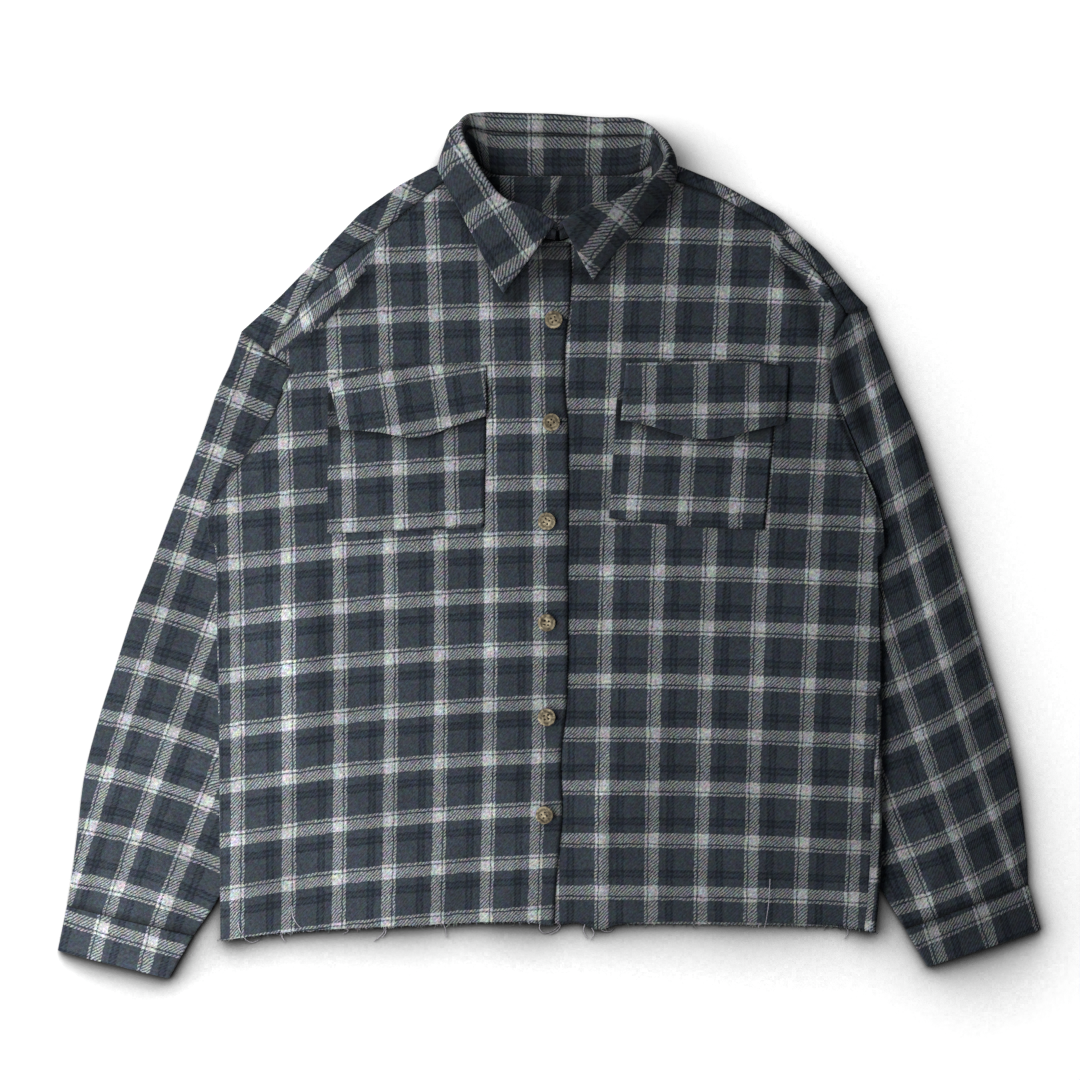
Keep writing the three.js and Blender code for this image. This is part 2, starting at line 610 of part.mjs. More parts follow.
// Collar stand and fall, section by section
{
  const point = (row, key) => new THREE.Vector3(...row[key]);
  const footOf = (row) => {
    const [x, y] = row.neck;
    const top = x < NECK_CENTRE.x ? onRightFront(x, y) : upper(x, y);
    return new THREE.Vector3(x, y, lerp(lower(x, y), top, row.level));
  };
  const curves = {
    neck: new THREE.CatmullRomCurve3(COLLAR.map(footOf), false, 'centripetal'),
    roll: new THREE.CatmullRomCurve3(COLLAR.map((r) => point(r, 'roll')), false, 'centripetal'),
    edge: new THREE.CatmullRomCurve3(COLLAR.map((r) => point(r, 'edge')), false, 'centripetal'),
  };
  const stand = new Sheet();
  const fall = new Sheet();
  const standRows = [];
  const fallRows = [];
  for (let j = 0; j <= COLLAR_STEPS; j += 1) {
    const t = j / COLLAR_STEPS;
    const neck = curves.neck.getPoint(t);
    const roll = curves.roll.getPoint(t);
    const edge = curves.edge.getPoint(t);
    const at = t * (COLLAR.length - 1);
    const near = COLLAR[Math.floor(Math.min(at, COLLAR.length - 2))];
    const next = COLLAR[Math.floor(Math.min(at, COLLAR.length - 2)) + 1];
    const share = at - Math.floor(Math.min(at, COLLAR.length - 2));
    const seam = lerp(near.seam, next.seam, share);
    const bow = lerp(near.bow, next.bow, share);
    const up = roll.clone().sub(neck).normalize();
    const down = edge.clone().sub(roll).normalize();
    const ahead = up.clone().sub(down).normalize();
    const across = neck.clone().sub(edge);
    across.addScaledVector(ahead, -across.dot(ahead)).normalize();
    const centre = roll.clone().addScaledVector(ahead, -NOSE);
    const turn = (angle) => {
      const a = THREE.MathUtils.degToRad(angle);
      return centre.clone().addScaledVector(across, NOSE * Math.cos(a)).addScaledVector(ahead, NOSE * Math.sin(a));
    };
    const into = turn(0);
    const length = into.distanceTo(neck);
    const rise = (s) => neck.clone().lerp(into, s);
    const joint = seam - SEAM / length;
    standRows.push([0, 0.33, 0.67, 1].map((s) => rise(s * joint)));
    const out = new THREE.Vector3(roll.x - NECK_CENTRE.x, roll.y - NECK_CENTRE.y, 0).normalize();
    out.z = 0.5;
    const leave = turn(180);
    const fallRow = [rise(seam + SEAM / length), into, turn(50), turn(90), turn(130), leave];
    for (const s of [0.33, 0.67, 1]) {
      fallRow.push(leave.clone().lerp(edge, s).addScaledVector(out, bow * 4 * s * (1 - s)));
    }
    fallRows.push(fallRow);
  }
  const number = (sheet, rows) => rows.map((row) => row.map((p) => sheet.add(p.x, p.y, p.z)));
  stand.join(number(stand, standRows));
  fall.join(number(fall, fallRows));
  put('collar_stand', stand.solid(CLOTH), COLOURS.trim);
  put('collar_fall', fall.solid(CLOTH), COLOURS.trim);
}

// Chest pockets and their flaps, laid on the fronts
for (const side of ['right', 'left']) {
  const laid = (name, shape, columns, rows, rise) => {
    const top = along(shape.top, columns);
    const bottom = along(shape.bottom, columns);
    const leftEdge = along([shape.bottom[0], shape.top[0]], rows);
    const rightEdge = along([shape.bottom.at(-1), shape.top.at(-1)], rows);
    const sheet = new Sheet();
    const grid = patch(bottom, top, leftEdge, rightEdge);
    sheet.join(grid.map((row) => row.map((p) => sheet.add(p.x, p.y, onFront[side](p.x, p.y) + rise(p)))));
    put(name, sheet.solid(PATCH), COLOURS.trim);
  };
  const pocketTop = POCKET[side].top[0][1];
  laid(`pocket_${side}`, POCKET[side], 6, 6, () => POCKET_RISE);
  laid(`flap_${side}`, FLAP[side], 9, 5, (p) => {
    return POCKET_RISE + FLAP_RISE * (1 - smooth(p.y, pocketTop + 3, pocketTop + 14));
  });
}

// Four-hole buttons with a raised rim
function solidOf(geometry) {
  const bare = geometry.clone();
  bare.deleteAttribute('normal');
  bare.deleteAttribute('uv');
  const merged = mergeVertices(bare, 1e-4);
  return new wasm.Manifold(new wasm.Mesh({
    numProp: 3,
    vertProperties: Float32Array.from(merged.attributes.position.array),
    triVerts: Uint32Array.from(merged.index.array),
  }));
}

function geometryOf(solid) {
  const mesh = solid.getMesh();
  const geometry = new THREE.BufferGeometry();
  geometry.setAttribute('position', new THREE.BufferAttribute(Float32Array.from(mesh.vertProperties), 3));
  geometry.setIndex(new THREE.BufferAttribute(Uint32Array.from(mesh.triVerts), 1));
  return geometry;
}

{
  const { radius, thick, hole, pitch, rise } = BUTTON;
  const profile = [
    [0, 0], [radius - 1.3, 0], [radius, 0.9], [radius, 1.9], [radius - 0.8, thick],
    [radius - 1.7, thick], [radius - 2.5, thick - 0.8], [0, thick - 0.8],
  ].map(([r, z]) => new THREE.Vector2(r, z));
  let body = solidOf(new THREE.LatheGeometry(profile, 16).rotateX(Math.PI / 2));
  for (const [sx, sy] of [[1, 1], [1, -1], [-1, 1], [-1, -1]]) {
    const drill = new THREE.CylinderGeometry(hole, hole, thick * 3, 6).rotateX(Math.PI / 2);
    drill.translate(sx * pitch, sy * pitch, thick / 2);
    body = body.subtract(solidOf(drill));
  }
  const geometry = geometryOf(body);
  BUTTONS.forEach((at, i) => {
    const mesh = put(`button_${i + 1}`, geometry.clone(), COLOURS.horn, 0.45);
    mesh.position.set(at.x, at.y, onRightFront(at.x, at.y) + rise);
  });
}

// The frame's origin is under the middle of the whole shirt
const box = new THREE.Box3().setFromObject(group);
const middle = box.getCenter(new THREE.Vector3());
group.position.set(-middle.x, -middle.y, -box.min.z);
group.updateMatrixWorld(true);

export default group;
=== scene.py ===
import json
from math import cos, pi, radians, sin

import bmesh
import bpy
import numpy as np
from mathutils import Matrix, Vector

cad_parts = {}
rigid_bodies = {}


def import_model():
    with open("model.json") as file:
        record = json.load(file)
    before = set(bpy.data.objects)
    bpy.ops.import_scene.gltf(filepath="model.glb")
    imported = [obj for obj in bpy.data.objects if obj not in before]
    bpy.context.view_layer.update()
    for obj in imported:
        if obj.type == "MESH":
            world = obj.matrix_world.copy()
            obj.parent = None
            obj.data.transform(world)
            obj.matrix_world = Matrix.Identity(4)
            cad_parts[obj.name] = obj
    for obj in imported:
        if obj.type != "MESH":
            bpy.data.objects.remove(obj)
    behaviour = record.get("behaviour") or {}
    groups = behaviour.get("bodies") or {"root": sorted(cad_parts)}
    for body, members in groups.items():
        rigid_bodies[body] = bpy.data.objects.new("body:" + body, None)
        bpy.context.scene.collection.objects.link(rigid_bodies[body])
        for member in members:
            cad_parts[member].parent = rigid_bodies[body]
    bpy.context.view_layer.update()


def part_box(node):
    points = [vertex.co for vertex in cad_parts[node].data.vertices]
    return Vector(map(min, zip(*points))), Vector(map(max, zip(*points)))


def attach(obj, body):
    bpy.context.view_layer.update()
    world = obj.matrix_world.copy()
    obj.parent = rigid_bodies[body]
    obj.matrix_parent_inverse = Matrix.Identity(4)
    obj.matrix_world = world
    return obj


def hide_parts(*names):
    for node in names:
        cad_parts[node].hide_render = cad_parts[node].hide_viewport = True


bl_info = {
    "name": "Flannel shirt",
    "version": (1, 0, 0),
    "blender": (4, 5, 0),
    "location": "View3D > Sidebar > Shirt",
    "description": "A plaid flannel shirt laid flat, with its cloth, seams, buttons and raw hem",
    "category": "Object",
}

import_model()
for shown in bpy.data.objects:
    shown.select_set(False)

# Tables are in millimetres, seen from above: x to the viewer's right, y to the collar.
# "Right" and "left" are the wearer's. PLACE moves the tables onto the frame's origin.
MM = 0.001
PLACE = np.array([0.499, -1.348, 0.04])

WALL = 1.0
FLOOR = 0.7
PLY = 2.1
LIFT, LIFT_START, LIFT_RUN = 4.2, 12, 62
SIDE_TURN = 4.0
LAP_FROM, LAP_TO = -62, -38
SEAM = 0.5
POCKET_RISE = 1.5
FLAP_RISE = 1.5
NOSE = 1.7
STAND_GAP = 1.8
NECK_CENTRE = np.array([10.0, 305.0])
WAY = {"right": 1, "left": -1}
ALLOWANCE = 1.8
# Cloth hidden in the fold of the back inside the neck
NECK_FOLD = -7.0
# Where the painted shadow of a collar leaf falls from its edge
LEAF_SHADE = (6, -6)

# Shoulder folds, from the neck out to the sleeve
SHOULDER = {
    "right": [(-68, 341), (-97, 329), (-129, 312), (-163, 288), (-198, 251), (-232, 216), (-264, 187)],
    "left": [(92, 336), (109, 329), (146, 314), (194, 287), (232, 254), (260, 221), (273, 207)],
}

# Forward shoulder seams, where the yoke meets the fronts
SHOULDER_SEAM = {
    "right": [(-243, 170), (-224, 195), (-185, 238), (-139, 276), (-93, 313), (-68, 327)],
    "left": [(256, 202), (234, 231), (194, 274), (146, 302), (106, 316), (92, 321)],
}

# Armhole seams, from the tip on the shoulder fold down to the armpit
ARMHOLE = {
    "right": [
        (-264, 187), (-243, 170), (-221, 154), (-229, 135), (-237, 116),
        (-250, 92), (-269, 67), (-287, 44), (-292, 25), (-291, 2),
    ],
    "left": [
        (273, 207), (256, 202), (248, 191), (242, 175), (241, 159), (244, 137),
        (251, 111), (261, 86), (271, 62), (279, 40), (284, 19), (286, -7),
    ],
}

SIDE = {
    "right": [(-291, 2), (-289, -89), (-288, -175), (-287, -261), (-286, -338)],
    "left": [(286, -7), (288, -95), (288, -267), (286, -300), (283, -332)],
}

# Raw hems from the side edge to the centre front
HEM = {
    "right": [(-286, -338), (-224, -331), (-112, -325), (-25, -322), (3, -325)],
    "left": [(283, -332), (260, -328), (232, -325), (61, -324), (42, -329), (25, -323), (9, -324), (-15, -323)],
}

# Front edges from the hem up to the neck; the right front's edge lies on top
FRONT_EDGE = {
    "right": [
        (3, -325), (5, -286), (10, -231), (9, -181), (14, -132), (15, -11),
        (15, 101), (12, 146), (13, 176), (18, 225), (17, 261),
    ],
    "left": [(-15, -323), (-15, 262)],
}

# Seam between the yoke and the back, on the underside
YOKE_SEAM = [(-221, 154), (-163, 197), (-86, 226), (5, 234), (95, 226), (181, 200), (241, 159)]

# Sleeve sections: outer fold, inner fold (or a point of the armhole seam) and how far the top swells
SLEEVE = {
    "right": [
        {"outer": (-265.5, 186.5), "seam": 2, "puff": 0},
        {"outer": (-275, 159), "seam": 3, "puff": 0.2},
        {"outer": (-286, 135), "seam": 4, "puff": 0.5},
        {"outer": (-298, 101), "seam": 5, "puff": 0.9},
        {"outer": (-312, 64), "seam": 6, "puff": 1.2},
        {"outer": (-322, 40), "seam": 7, "puff": 1.3},
        {"outer": (-329, 22), "seam": 8, "puff": 1.3},
        {"outer": (-337, 1), "inner": (-279, -1), "puff": 1.4},
        {"outer": (-347, -25), "inner": (-248, -37), "puff": 1.6},
        {"outer": (-358, -53), "inner": (-229, -77), "puff": 1.8},
        {"outer": (-374, -102), "inner": (-224, -137), "puff": 2},
        {"outer": (-389, -149), "inner": (-234, -185), "puff": 2.2},
        {"outer": (-401, -196), "inner": (-253, -230), "puff": 2.6},
        {"outer": (-407, -243), "inner": (-270, -271), "puff": 3},
        {"outer": (-412, -282), "inner": (-289, -308), "puff": 2.8},
        {"outer": (-416, -308), "inner": (-307, -334), "puff": 2.2},
    ],
    "left": [
        {"outer": (273, 206), "seam": 1, "puff": 0},
        {"outer": (279, 191), "seam": 2, "puff": 0.1},
        {"outer": (284, 178), "seam": 3, "puff": 0.2},
        {"outer": (291, 161), "seam": 4, "puff": 0.4},
        {"outer": (299, 139), "seam": 5, "puff": 0.6},
        {"outer": (310, 114), "seam": 6, "puff": 0.9},
        {"outer": (320, 88), "seam": 7, "puff": 1.1},
        {"outer": (328, 62), "seam": 8, "puff": 1.3},
        {"outer": (336, 37), "seam": 9, "puff": 1.3},
        {"outer": (343, 16), "seam": 10, "puff": 1.3},
        {"outer": (351, -11), "inner": (273, -13), "puff": 1.4},
        {"outer": (360, -39), "inner": (246, -44), "puff": 1.6},
        {"outer": (369, -73), "inner": (225, -87), "puff": 1.8},
        {"outer": (381, -113), "inner": (219, -136), "puff": 2},
        {"outer": (393, -155), "inner": (230, -184), "puff": 2.2},
        {"outer": (402, -197), "inner": (248, -226), "puff": 2.6},
        {"outer": (408, -236), "inner": (268, -266), "puff": 3},
        {"outer": (411, -267), "inner": (289, -301), "puff": 2.8},
        {"outer": (412, -290), "inner": (306, -329), "puff": 2.2},
    ],
}

# Cuffs: the end that meets the sleeve, then the open end
CUFF = {
    "right": [{"outer": (-416, -308), "inner": (-307, -334)}, {"outer": (-424, -347), "inner": (-328, -371)}],
    "left": [{"outer": (412, -290), "inner": (306, -329)}, {"outer": (423, -329), "inner": (325, -361)}],
}

# Where the sleeve's inner fold lies under the body, as (y, x)
UNDER = {
    "right": [
        (-340, -308), (-308, -289), (-271, -270), (-230, -253), (-185, -234), (-137, -224),
        (-77, -229), (-37, -248), (-1, -279), (25, -292), (44, -308), (92, -345),
    ],
    "left": [
        (-332, 308), (-301, 289), (-266, 268), (-226, 248), (-184, 230), (-136, 219),
        (-87, 225), (-44, 246), (-13, 273), (19, 284), (40, 300), (86, 335),
    ],
}

# Soft rises of the upper cloth: centre, half length, half width, turn in degrees, height
RISES = [
    {"x": 5, "y": 300, "long": 95, "wide": 95, "turn": 0, "high": 4.2},
    {"x": -130, "y": 40, "long": 150, "wide": 80, "turn": 90, "high": 1.2},
    {"x": 150, "y": 30, "long": 150, "wide": 80, "turn": 90, "high": 1.2},
    {"x": -120, "y": -190, "long": 120, "wide": 90, "turn": 80, "high": 0.9},
    {"x": 150, "y": -190, "long": 120, "wide": 90, "turn": 100, "high": 0.9},
    {"x": -185, "y": 225, "long": 60, "wide": 26, "turn": 55, "high": 1.5},
    {"x": 225, "y": 215, "long": 60, "wide": 26, "turn": 125, "high": 1.5},
]

# Collar sections, from one front end round the back to the other
COLLAR = [
    {"neck": (4, 264), "roll": (5, 277, 15), "edge": (-40, 218, 9.8), "level": 1, "seam": 0.7, "bow": 1},
    {"neck": (-20, 270), "roll": (-17, 290, 17), "edge": (-53, 241, 9.6), "level": 1, "seam": 0.74, "bow": 2},
    {"neck": (-43, 283), "roll": (-39, 297, 19), "edge": (-65, 265, 9), "level": 1, "seam": 0.78, "bow": 2},
    {"neck": (-57, 301), "roll": (-55, 314, 21), "edge": (-78, 290, 9), "level": 1, "seam": 0.8, "bow": 2},
    {"neck": (-63, 316), "roll": (-67, 333, 22), "edge": (-89, 310, 8.5), "level": 1, "seam": 0.8, "bow": 2},
    {"neck": (-65, 328), "roll": (-74, 347, 21.5), "edge": (-96, 328, 8), "level": 0.9, "seam": 0.8, "bow": 3},
    {"neck": (-65, 337), "roll": (-77, 360, 18), "edge": (-82, 341, 5.5), "level": 0.5, "seam": 0.8, "bow": 7},
    {"neck": (-59, 329), "roll": (-71, 370, 11), "edge": (-71, 347, 2), "level": 0.15, "seam": 0.76, "bow": 2},
    {"neck": (-50, 322), "roll": (-57, 373, 6.2), "edge": (-57, 345, 1), "level": 0, "seam": 0.72, "bow": 0},
    {"neck": (-30, 320), "roll": (-33, 373, 4.4), "edge": (-33, 344, 0.9), "level": 0, "seam": 0.7, "bow": 0},
    {"neck": (5, 320), "roll": (5, 372, 4.2), "edge": (5, 343, 0.9), "level": 0, "seam": 0.7, "bow": 0},
    {"neck": (43, 320), "roll": (45, 369, 4.4), "edge": (43, 343, 0.9), "level": 0, "seam": 0.7, "bow": 0},
    {"neck": (67, 321), "roll": (71, 368, 6.2), "edge": (69, 344, 1), "level": 0, "seam": 0.72, "bow": 0},
    {"neck": (79, 325), "roll": (84, 362, 11), "edge": (83, 341, 2), "level": 0.15, "seam": 0.76, "bow": 2},
    {"neck": (86, 330), "roll": (94, 350, 18), "edge": (97, 335, 5.5), "level": 0.5, "seam": 0.8, "bow": 5},
    {"neck": (88, 322), "roll": (101, 335, 21.5), "edge": (108, 325, 8), "level": 0.9, "seam": 0.8, "bow": 2},
    {"neck": (83, 310), "roll": (91, 317, 22), "edge": (104, 306, 8.5), "level": 1, "seam": 0.8, "bow": 2},
    {"neck": (67, 297), "roll": (72, 305, 21), "edge": (86, 286, 9), "level": 1, "seam": 0.8, "bow": 2},
    {"neck": (50, 284), "roll": (55, 295, 19), "edge": (69, 267, 9), "level": 1, "seam": 0.78, "bow": 2},
    {"neck": (28, 272), "roll": (34, 292, 17), "edge": (51, 248, 8.5), "level": 1, "seam": 0.74, "bow": 2},
    {"neck": (9, 264), "roll": (9.5, 277, 15), "edge": (37, 230, 7.6), "level": 1, "seam": 0.7, "bow": 1},
]

# The collar's plaid: cloth millimetres to each millimetre round the neck and up, and where the lines lie
COLLAR_PLAID = {"round": 0.894, "up": 0.87, "back": -11.6, "stand": 28.4, "fall": 6.0}
# On the two leaves the lines are straight: a crossing, the way outwards and the way towards the
# viewer's left end of the collar, and the sections (of 20) where this takes over
COLLAR_LEAVES = [
    {"pin": (-43, 295.8), "out": (-0.843, -0.537), "forward": (0.537, -0.843), "blend": (7.2, 4.8)},
    {"pin": (54.2, 283.8), "out": (0.805, -0.593), "forward": (0.593, 0.805), "blend": (12.8, 15.2)},
]

# Pockets and flaps: top and bottom outlines
POCKET = {
    "right": {"top": [(-191, 132), (-55, 133)], "bottom": [(-191, 12), (-138, 14), (-57, 17)]},
    "left": {"top": [(58, 133), (195, 133)], "bottom": [(51, 25), (105, 19), (184, 15)]},
}
FLAP = {
    "right": {
        "top": [(-190, 144), (-144, 155), (-99, 157), (-55, 156)],
        "bottom": [(-180, 101), (-149, 99), (-113, 94), (-86, 103), (-55, 113)],
    },
    "left": {
        "top": [(66, 158), (131, 160), (180, 158), (205, 155)],
        "bottom": [(61, 109), (83, 105), (110, 97), (137, 93), (177, 101), (202, 107)],
    },
}

# How the plaid lies on each piece. A wide stripe and a wide band cross at "pin"; "way" is -1 where
# the piece was cut the other way up. The rest says how many cloth millimetres there are to 100 mm
# across and up, and how the lines bow.
PLAID = {
    "front_right": {"pin": (-138.5, -49), "way": 1, "stripe": (100.2, 0.7, 1.2, -0.8, 0.6), "band": (-7.9, 97.3, 2.0, 1.0, -1.2)},
    "front_left": {"pin": (136.7, -68), "way": -1, "stripe": (98.8, -3.3, -0.6, -1.1, -0.4), "band": (2.1, 99.6, 1.0, 0, -0.9)},
    "sleeve_right": {"pin": (-323.4, -159), "way": -1, "stripe": (91, -33, -17, 3.6, 0), "band": (29.8, 94, 11.5, -2.9, -0.8)},
    "sleeve_left": {"pin": (338.8, -99.8), "way": 1, "stripe": (114, 34.5, 20, 11.9, 0), "band": (-53.9, 88.5, -12.3, -7.4, -2.3)},
    "cuff_right": {"pin": (-383.6, -326.8), "way": -1, "stripe": (96, -25, 0, 0, 0), "band": (28, 95, 0, 0, 0)},
    "cuff_left": {"pin": (330.2, -331), "way": -1, "stripe": (91, 28, 0, 0, 0), "band": (-38, 90, 0, 0, 0)},
    "pocket_right": {"pin": (-130.7, 66.2), "way": 1, "stripe": (98.2, 2, 0, 0, 0), "band": (-7.4, 100, 0, 0, 0)},
    "pocket_left": {"pin": (117.8, 82.6), "way": 1, "stripe": (98.5, -7.2, 0, 0, 0), "band": (2.4, 98, 0, 0, 0)},
    "flap_right": {"pin": (-89.4, 107.5), "way": -1, "stripe": (99, 15, 0, 0, 0), "band": (-17, 99, 0, 0, 0)},
    "flap_left": {"pin": (130.7, 118.7), "way": -1, "stripe": (98.5, -2, 0, 0, 0), "band": (-2, 99, 0, 0, 0)},
    "yoke_right": {"pin": (-207.3, 238.2), "way": 1, "stripe": (91, -40, 0, 0, 0), "band": (40, 92, 0, 0, 0)},
    "yoke_left": {"pin": (210.7, 266.6), "way": 1, "stripe": (93, 37, 0, 0, 0), "band": (-37, 93, 0, 0, 0)},
    "side_left": {"pin": (276, -279.5), "way": -1, "stripe": (98, -10.7, 0, 0, 0), "band": (0, 100, 0, 0, 0)},
    "fold_right": {"pin": (-176.3, 221), "way": 1, "stripe": (105.6, 29.5, 0, 0, 0), "band": (-69.2, 84.4, 0, 0, 0)},
    "fold_left": {"pin": (192.6, 258.9), "way": -1, "stripe": (85.9, -40.6, 0, 0, 0), "band": (50.9, 86.6, 0, 0, 0)},
    "yoke": {"pin": (41.3, 277.5), "way": 1, "stripe": (100, 0, 0, 0, 0), "band": (0, 100, 0, 0, 0)},
    "back": {"pin": (0, 0), "way": 1, "stripe": (100, 0, 0, 0, 0), "band": (0, 100, 0, 0, 0)},
}


def smooth(value, low, high):
    t = np.clip((np.asarray(value, float) - low) / (high - low), 0, 1)
    return t * t * (3 - 2 * t)


def lerp(a, b, t):
    return a + (b - a) * t


def curve_at(points, shares):
    """Points of a smooth curve through the given ones, at shares of its number of spans."""
    p = np.asarray(points, float)
    shares = np.asarray(shares, float)
    if len(p) == 2:
        return p[0] + (p[1] - p[0]) * shares[:, None]
    q = np.vstack([2 * p[0] - p[1], p, 2 * p[-1] - p[-2]])
    at = np.clip(shares * (len(p) - 1), 0, len(p) - 1 - 1e-9)
    k = at.astype(int)
    t = (at - k)[:, None]
    a, b, c, d = (q[k + i] for i in range(4))
    gap = [np.maximum(np.linalg.norm(n - m, axis=1) ** 0.5, 1e-4)[:, None] for m, n in ((a, b), (b, c), (c, d))]
    start = ((b - a) / gap[0] - (c - a) / (gap[0] + gap[1]) + (c - b) / gap[1]) * gap[1]
    end = ((c - b) / gap[1] - (d - b) / (gap[1] + gap[2]) + (d - c) / gap[2]) * gap[1]
    return b + start * t + (-3 * b + 3 * c - 2 * start - end) * t**2 + (2 * b - 2 * c + start + end) * t**3


def spaced(points, count):
    """The same line with count even steps."""
    p = np.asarray(points, float)
    run = np.concatenate([[0], np.cumsum(np.linalg.norm(np.diff(p, axis=0), axis=1))])
    at = np.linspace(0, run[-1], count + 1)
    return np.stack([np.interp(at, run, p[:, k]) for k in range(p.shape[1])], axis=1)


def along(points, count):
    return spaced(curve_at(points, np.linspace(0, 1, 60 * len(points))), count)


def aside(points, by):
    """A line moved to the right of the way it runs."""
    p = np.asarray(points, float)
    way = np.gradient(p, axis=0)
    way /= np.linalg.norm(way, axis=1)[:, None]
    return p + np.stack([way[:, 1], -way[:, 0]], axis=1) * by


def row_at(rows, key, y):
    """x of a table of (y, x) rows at a height y."""
    table = np.array(rows[key], float)
    return np.interp(y, table[:, 0], table[:, 1])


def on_line(points, x):
    """y of a line at x, for lines that run from side to side."""
    p = np.asarray(sorted(map(tuple, points)), float)
    return np.interp(x, p[:, 0], p[:, 1])


def far(points, x, y):
    """Distance in plan from each point to a line."""
    p = np.asarray(points, float)
    x, y = np.asarray(x, float), np.asarray(y, float)
    best = np.full(x.shape, 1e9)
    for a, b in zip(p[:-1], p[1:]):
        way = b - a
        t = np.clip(((x - a[0]) * way[0] + (y - a[1]) * way[1]) / max(way @ way, 1e-9), 0, 1)
        best = np.minimum(best, np.hypot(x - a[0] - t * way[0], y - a[1] - t * way[1]))
    return best


def lower(x, y):
    """Height of the middle of the under layer, raised where it lies on a sleeve."""
    reach = np.minimum(x - row_at(UNDER, "right", y), row_at(UNDER, "left", y) - x)
    return FLOOR + LIFT * (1 - smooth(reach, LIFT_START, LIFT_RUN))


def rises(x, y):
    total = 0.5
    for r in RISES:
        a = radians(r["turn"])
        u = (x - r["x"]) * cos(a) + (y - r["y"]) * sin(a)
        v = (y - r["y"]) * cos(a) - (x - r["x"]) * sin(a)
        total = total + r["high"] * np.exp(-((u / r["long"]) ** 2) - (v / r["wide"]) ** 2)
    return total


def upper(x, y):
    return lower(x, y) + PLY + rises(x, y)


def on_right_front(x, y):
    return upper(x, y) + PLY * smooth(x, LAP_FROM, LAP_TO)


ON_FRONT = {"right": on_right_front, "left": upper}

# Creases of the fronts: a line in plan, its height (negative for a valley) and how wide it is on
# the left and right of the way it runs
CREASES = [
    # rounded fold under the right shoulder, and the hollow below it
    {"line": [(-118, 262), (-150, 252), (-178, 230), (-204, 204), (-226, 180)], "high": 2.6, "left": 12, "right": 11},
    {"line": [(-120, 244), (-152, 228), (-172, 206), (-190, 188), (-206, 172)], "high": -1.6, "left": 9, "right": 10},
    {"line": [(-206, 184), (-222, 160), (-232, 130)], "high": 1.5, "left": 9, "right": 7},
    # long soft ridge down the right front, steep on the placket's side
    {"line": [(-208, 10), (-209, -40), (-212, -100), (-216, -160), (-222, -210)], "high": 1.7, "left": 12, "right": 38},
    {"line": [(-262, 50), (-264, -20), (-266, -80), (-264, -150)], "high": -1.0, "left": 9, "right": 9},
    {"line": [(-272, -80), (-264, -96), (-258, -110)], "high": 0.9, "left": 4, "right": 4},
    # pull lines from the fourth and fifth buttons
    {"line": [(4, -128), (-30, -126), (-70, -134), (-106, -146)], "high": 1.3, "left": 9, "right": 4},
    {"line": [(2, -140), (-40, -143), (-82, -147)], "high": -0.8, "left": 4, "right": 4},
    {"line": [(-4, -150), (-30, -160), (-62, -186)], "high": 0.8, "left": 6, "right": 5},
    {"line": [(-4, -158), (-22, -176), (-40, -210)], "high": 0.6, "left": 5, "right": 5},
    {"line": [(-4, -232), (-26, -262), (-40, -310)], "high": 0.8, "left": 7, "right": 7},
    {"line": [(-70, -250), (-78, -318)], "high": -0.6, "left": 7, "right": 7},
    {"line": [(-150, -160), (-210, -190), (-262, -216)], "high": 0.7, "left": 12, "right": 12},
    {"line": [(-120, -210), (-190, -236), (-250, -280)], "high": 0.7, "left": 14, "right": 10},
    # from the right armhole
    {"line": [(-270, 36), (-240, 62), (-208, 78)], "high": -1.0, "left": 6, "right": 9},
    {"line": [(-262, 56), (-232, 78), (-204, 92)], "high": 1.2, "left": 8, "right": 6},
    # left front: fold mark across, and fine creases
    {"line": [(12, -106), (80, -107), (140, -110), (200, -106), (286, -104)], "high": -0.55, "left": 2.2, "right": 2.2},
    {"line": [(14, -98), (80, -99), (140, -102), (200, -98), (284, -96)], "high": 0.35, "left": 6, "right": 6},
    {"line": [(206, -20), (166, -56), (120, -94)], "high": 0.45, "left": 2.6, "right": 2.6},
    {"line": [(194, 80), (230, 74), (268, 68)], "high": -1.0, "left": 5, "right": 3},
    {"line": [(194, 70), (228, 63), (262, 58)], "high": 0.8, "left": 3, "right": 8},
    {"line": [(204, -18), (240, -34), (276, -42)], "high": -0.7, "left": 4, "right": 4},
    {"line": [(84, -10), (130, -12), (176, -8)], "high": 0.7, "left": 6, "right": 9},
    {"line": [(116, -148), (160, -142), (196, -130)], "high": -0.6, "left": 4, "right": 5},
    {"line": [(16, -194), (34, -188), (54, -176)], "high": -0.9, "left": 5, "right": 5},
    {"line": [(46, -196), (44, -250), (42, -316)], "high": 1.2, "left": 9, "right": 7},
    {"line": [(58, -196), (56, -250), (54, -316)], "high": -0.7, "left": 6, "right": 6},
    {"line": [(188, -290), (188, -322)], "high": 0.5, "left": 3, "right": 3},
    # left shoulder: a deep fold to the armhole, and the hollow beside it
    {"line": [(194, 256), (212, 240), (222, 226), (230, 200), (238, 172)], "high": -2.0, "left": 6, "right": 7},
    {"line": [(186, 240), (198, 222), (210, 196), (222, 170)], "high": 1.2, "left": 8, "right": 12},
    {"line": [(216, 266), (232, 240), (244, 214)], "high": 1.6, "left": 9, "right": 8},
    {"line": [(205, 158), (207, 130), (206, 92)], "high": -0.3, "left": 6, "right": 8},
]


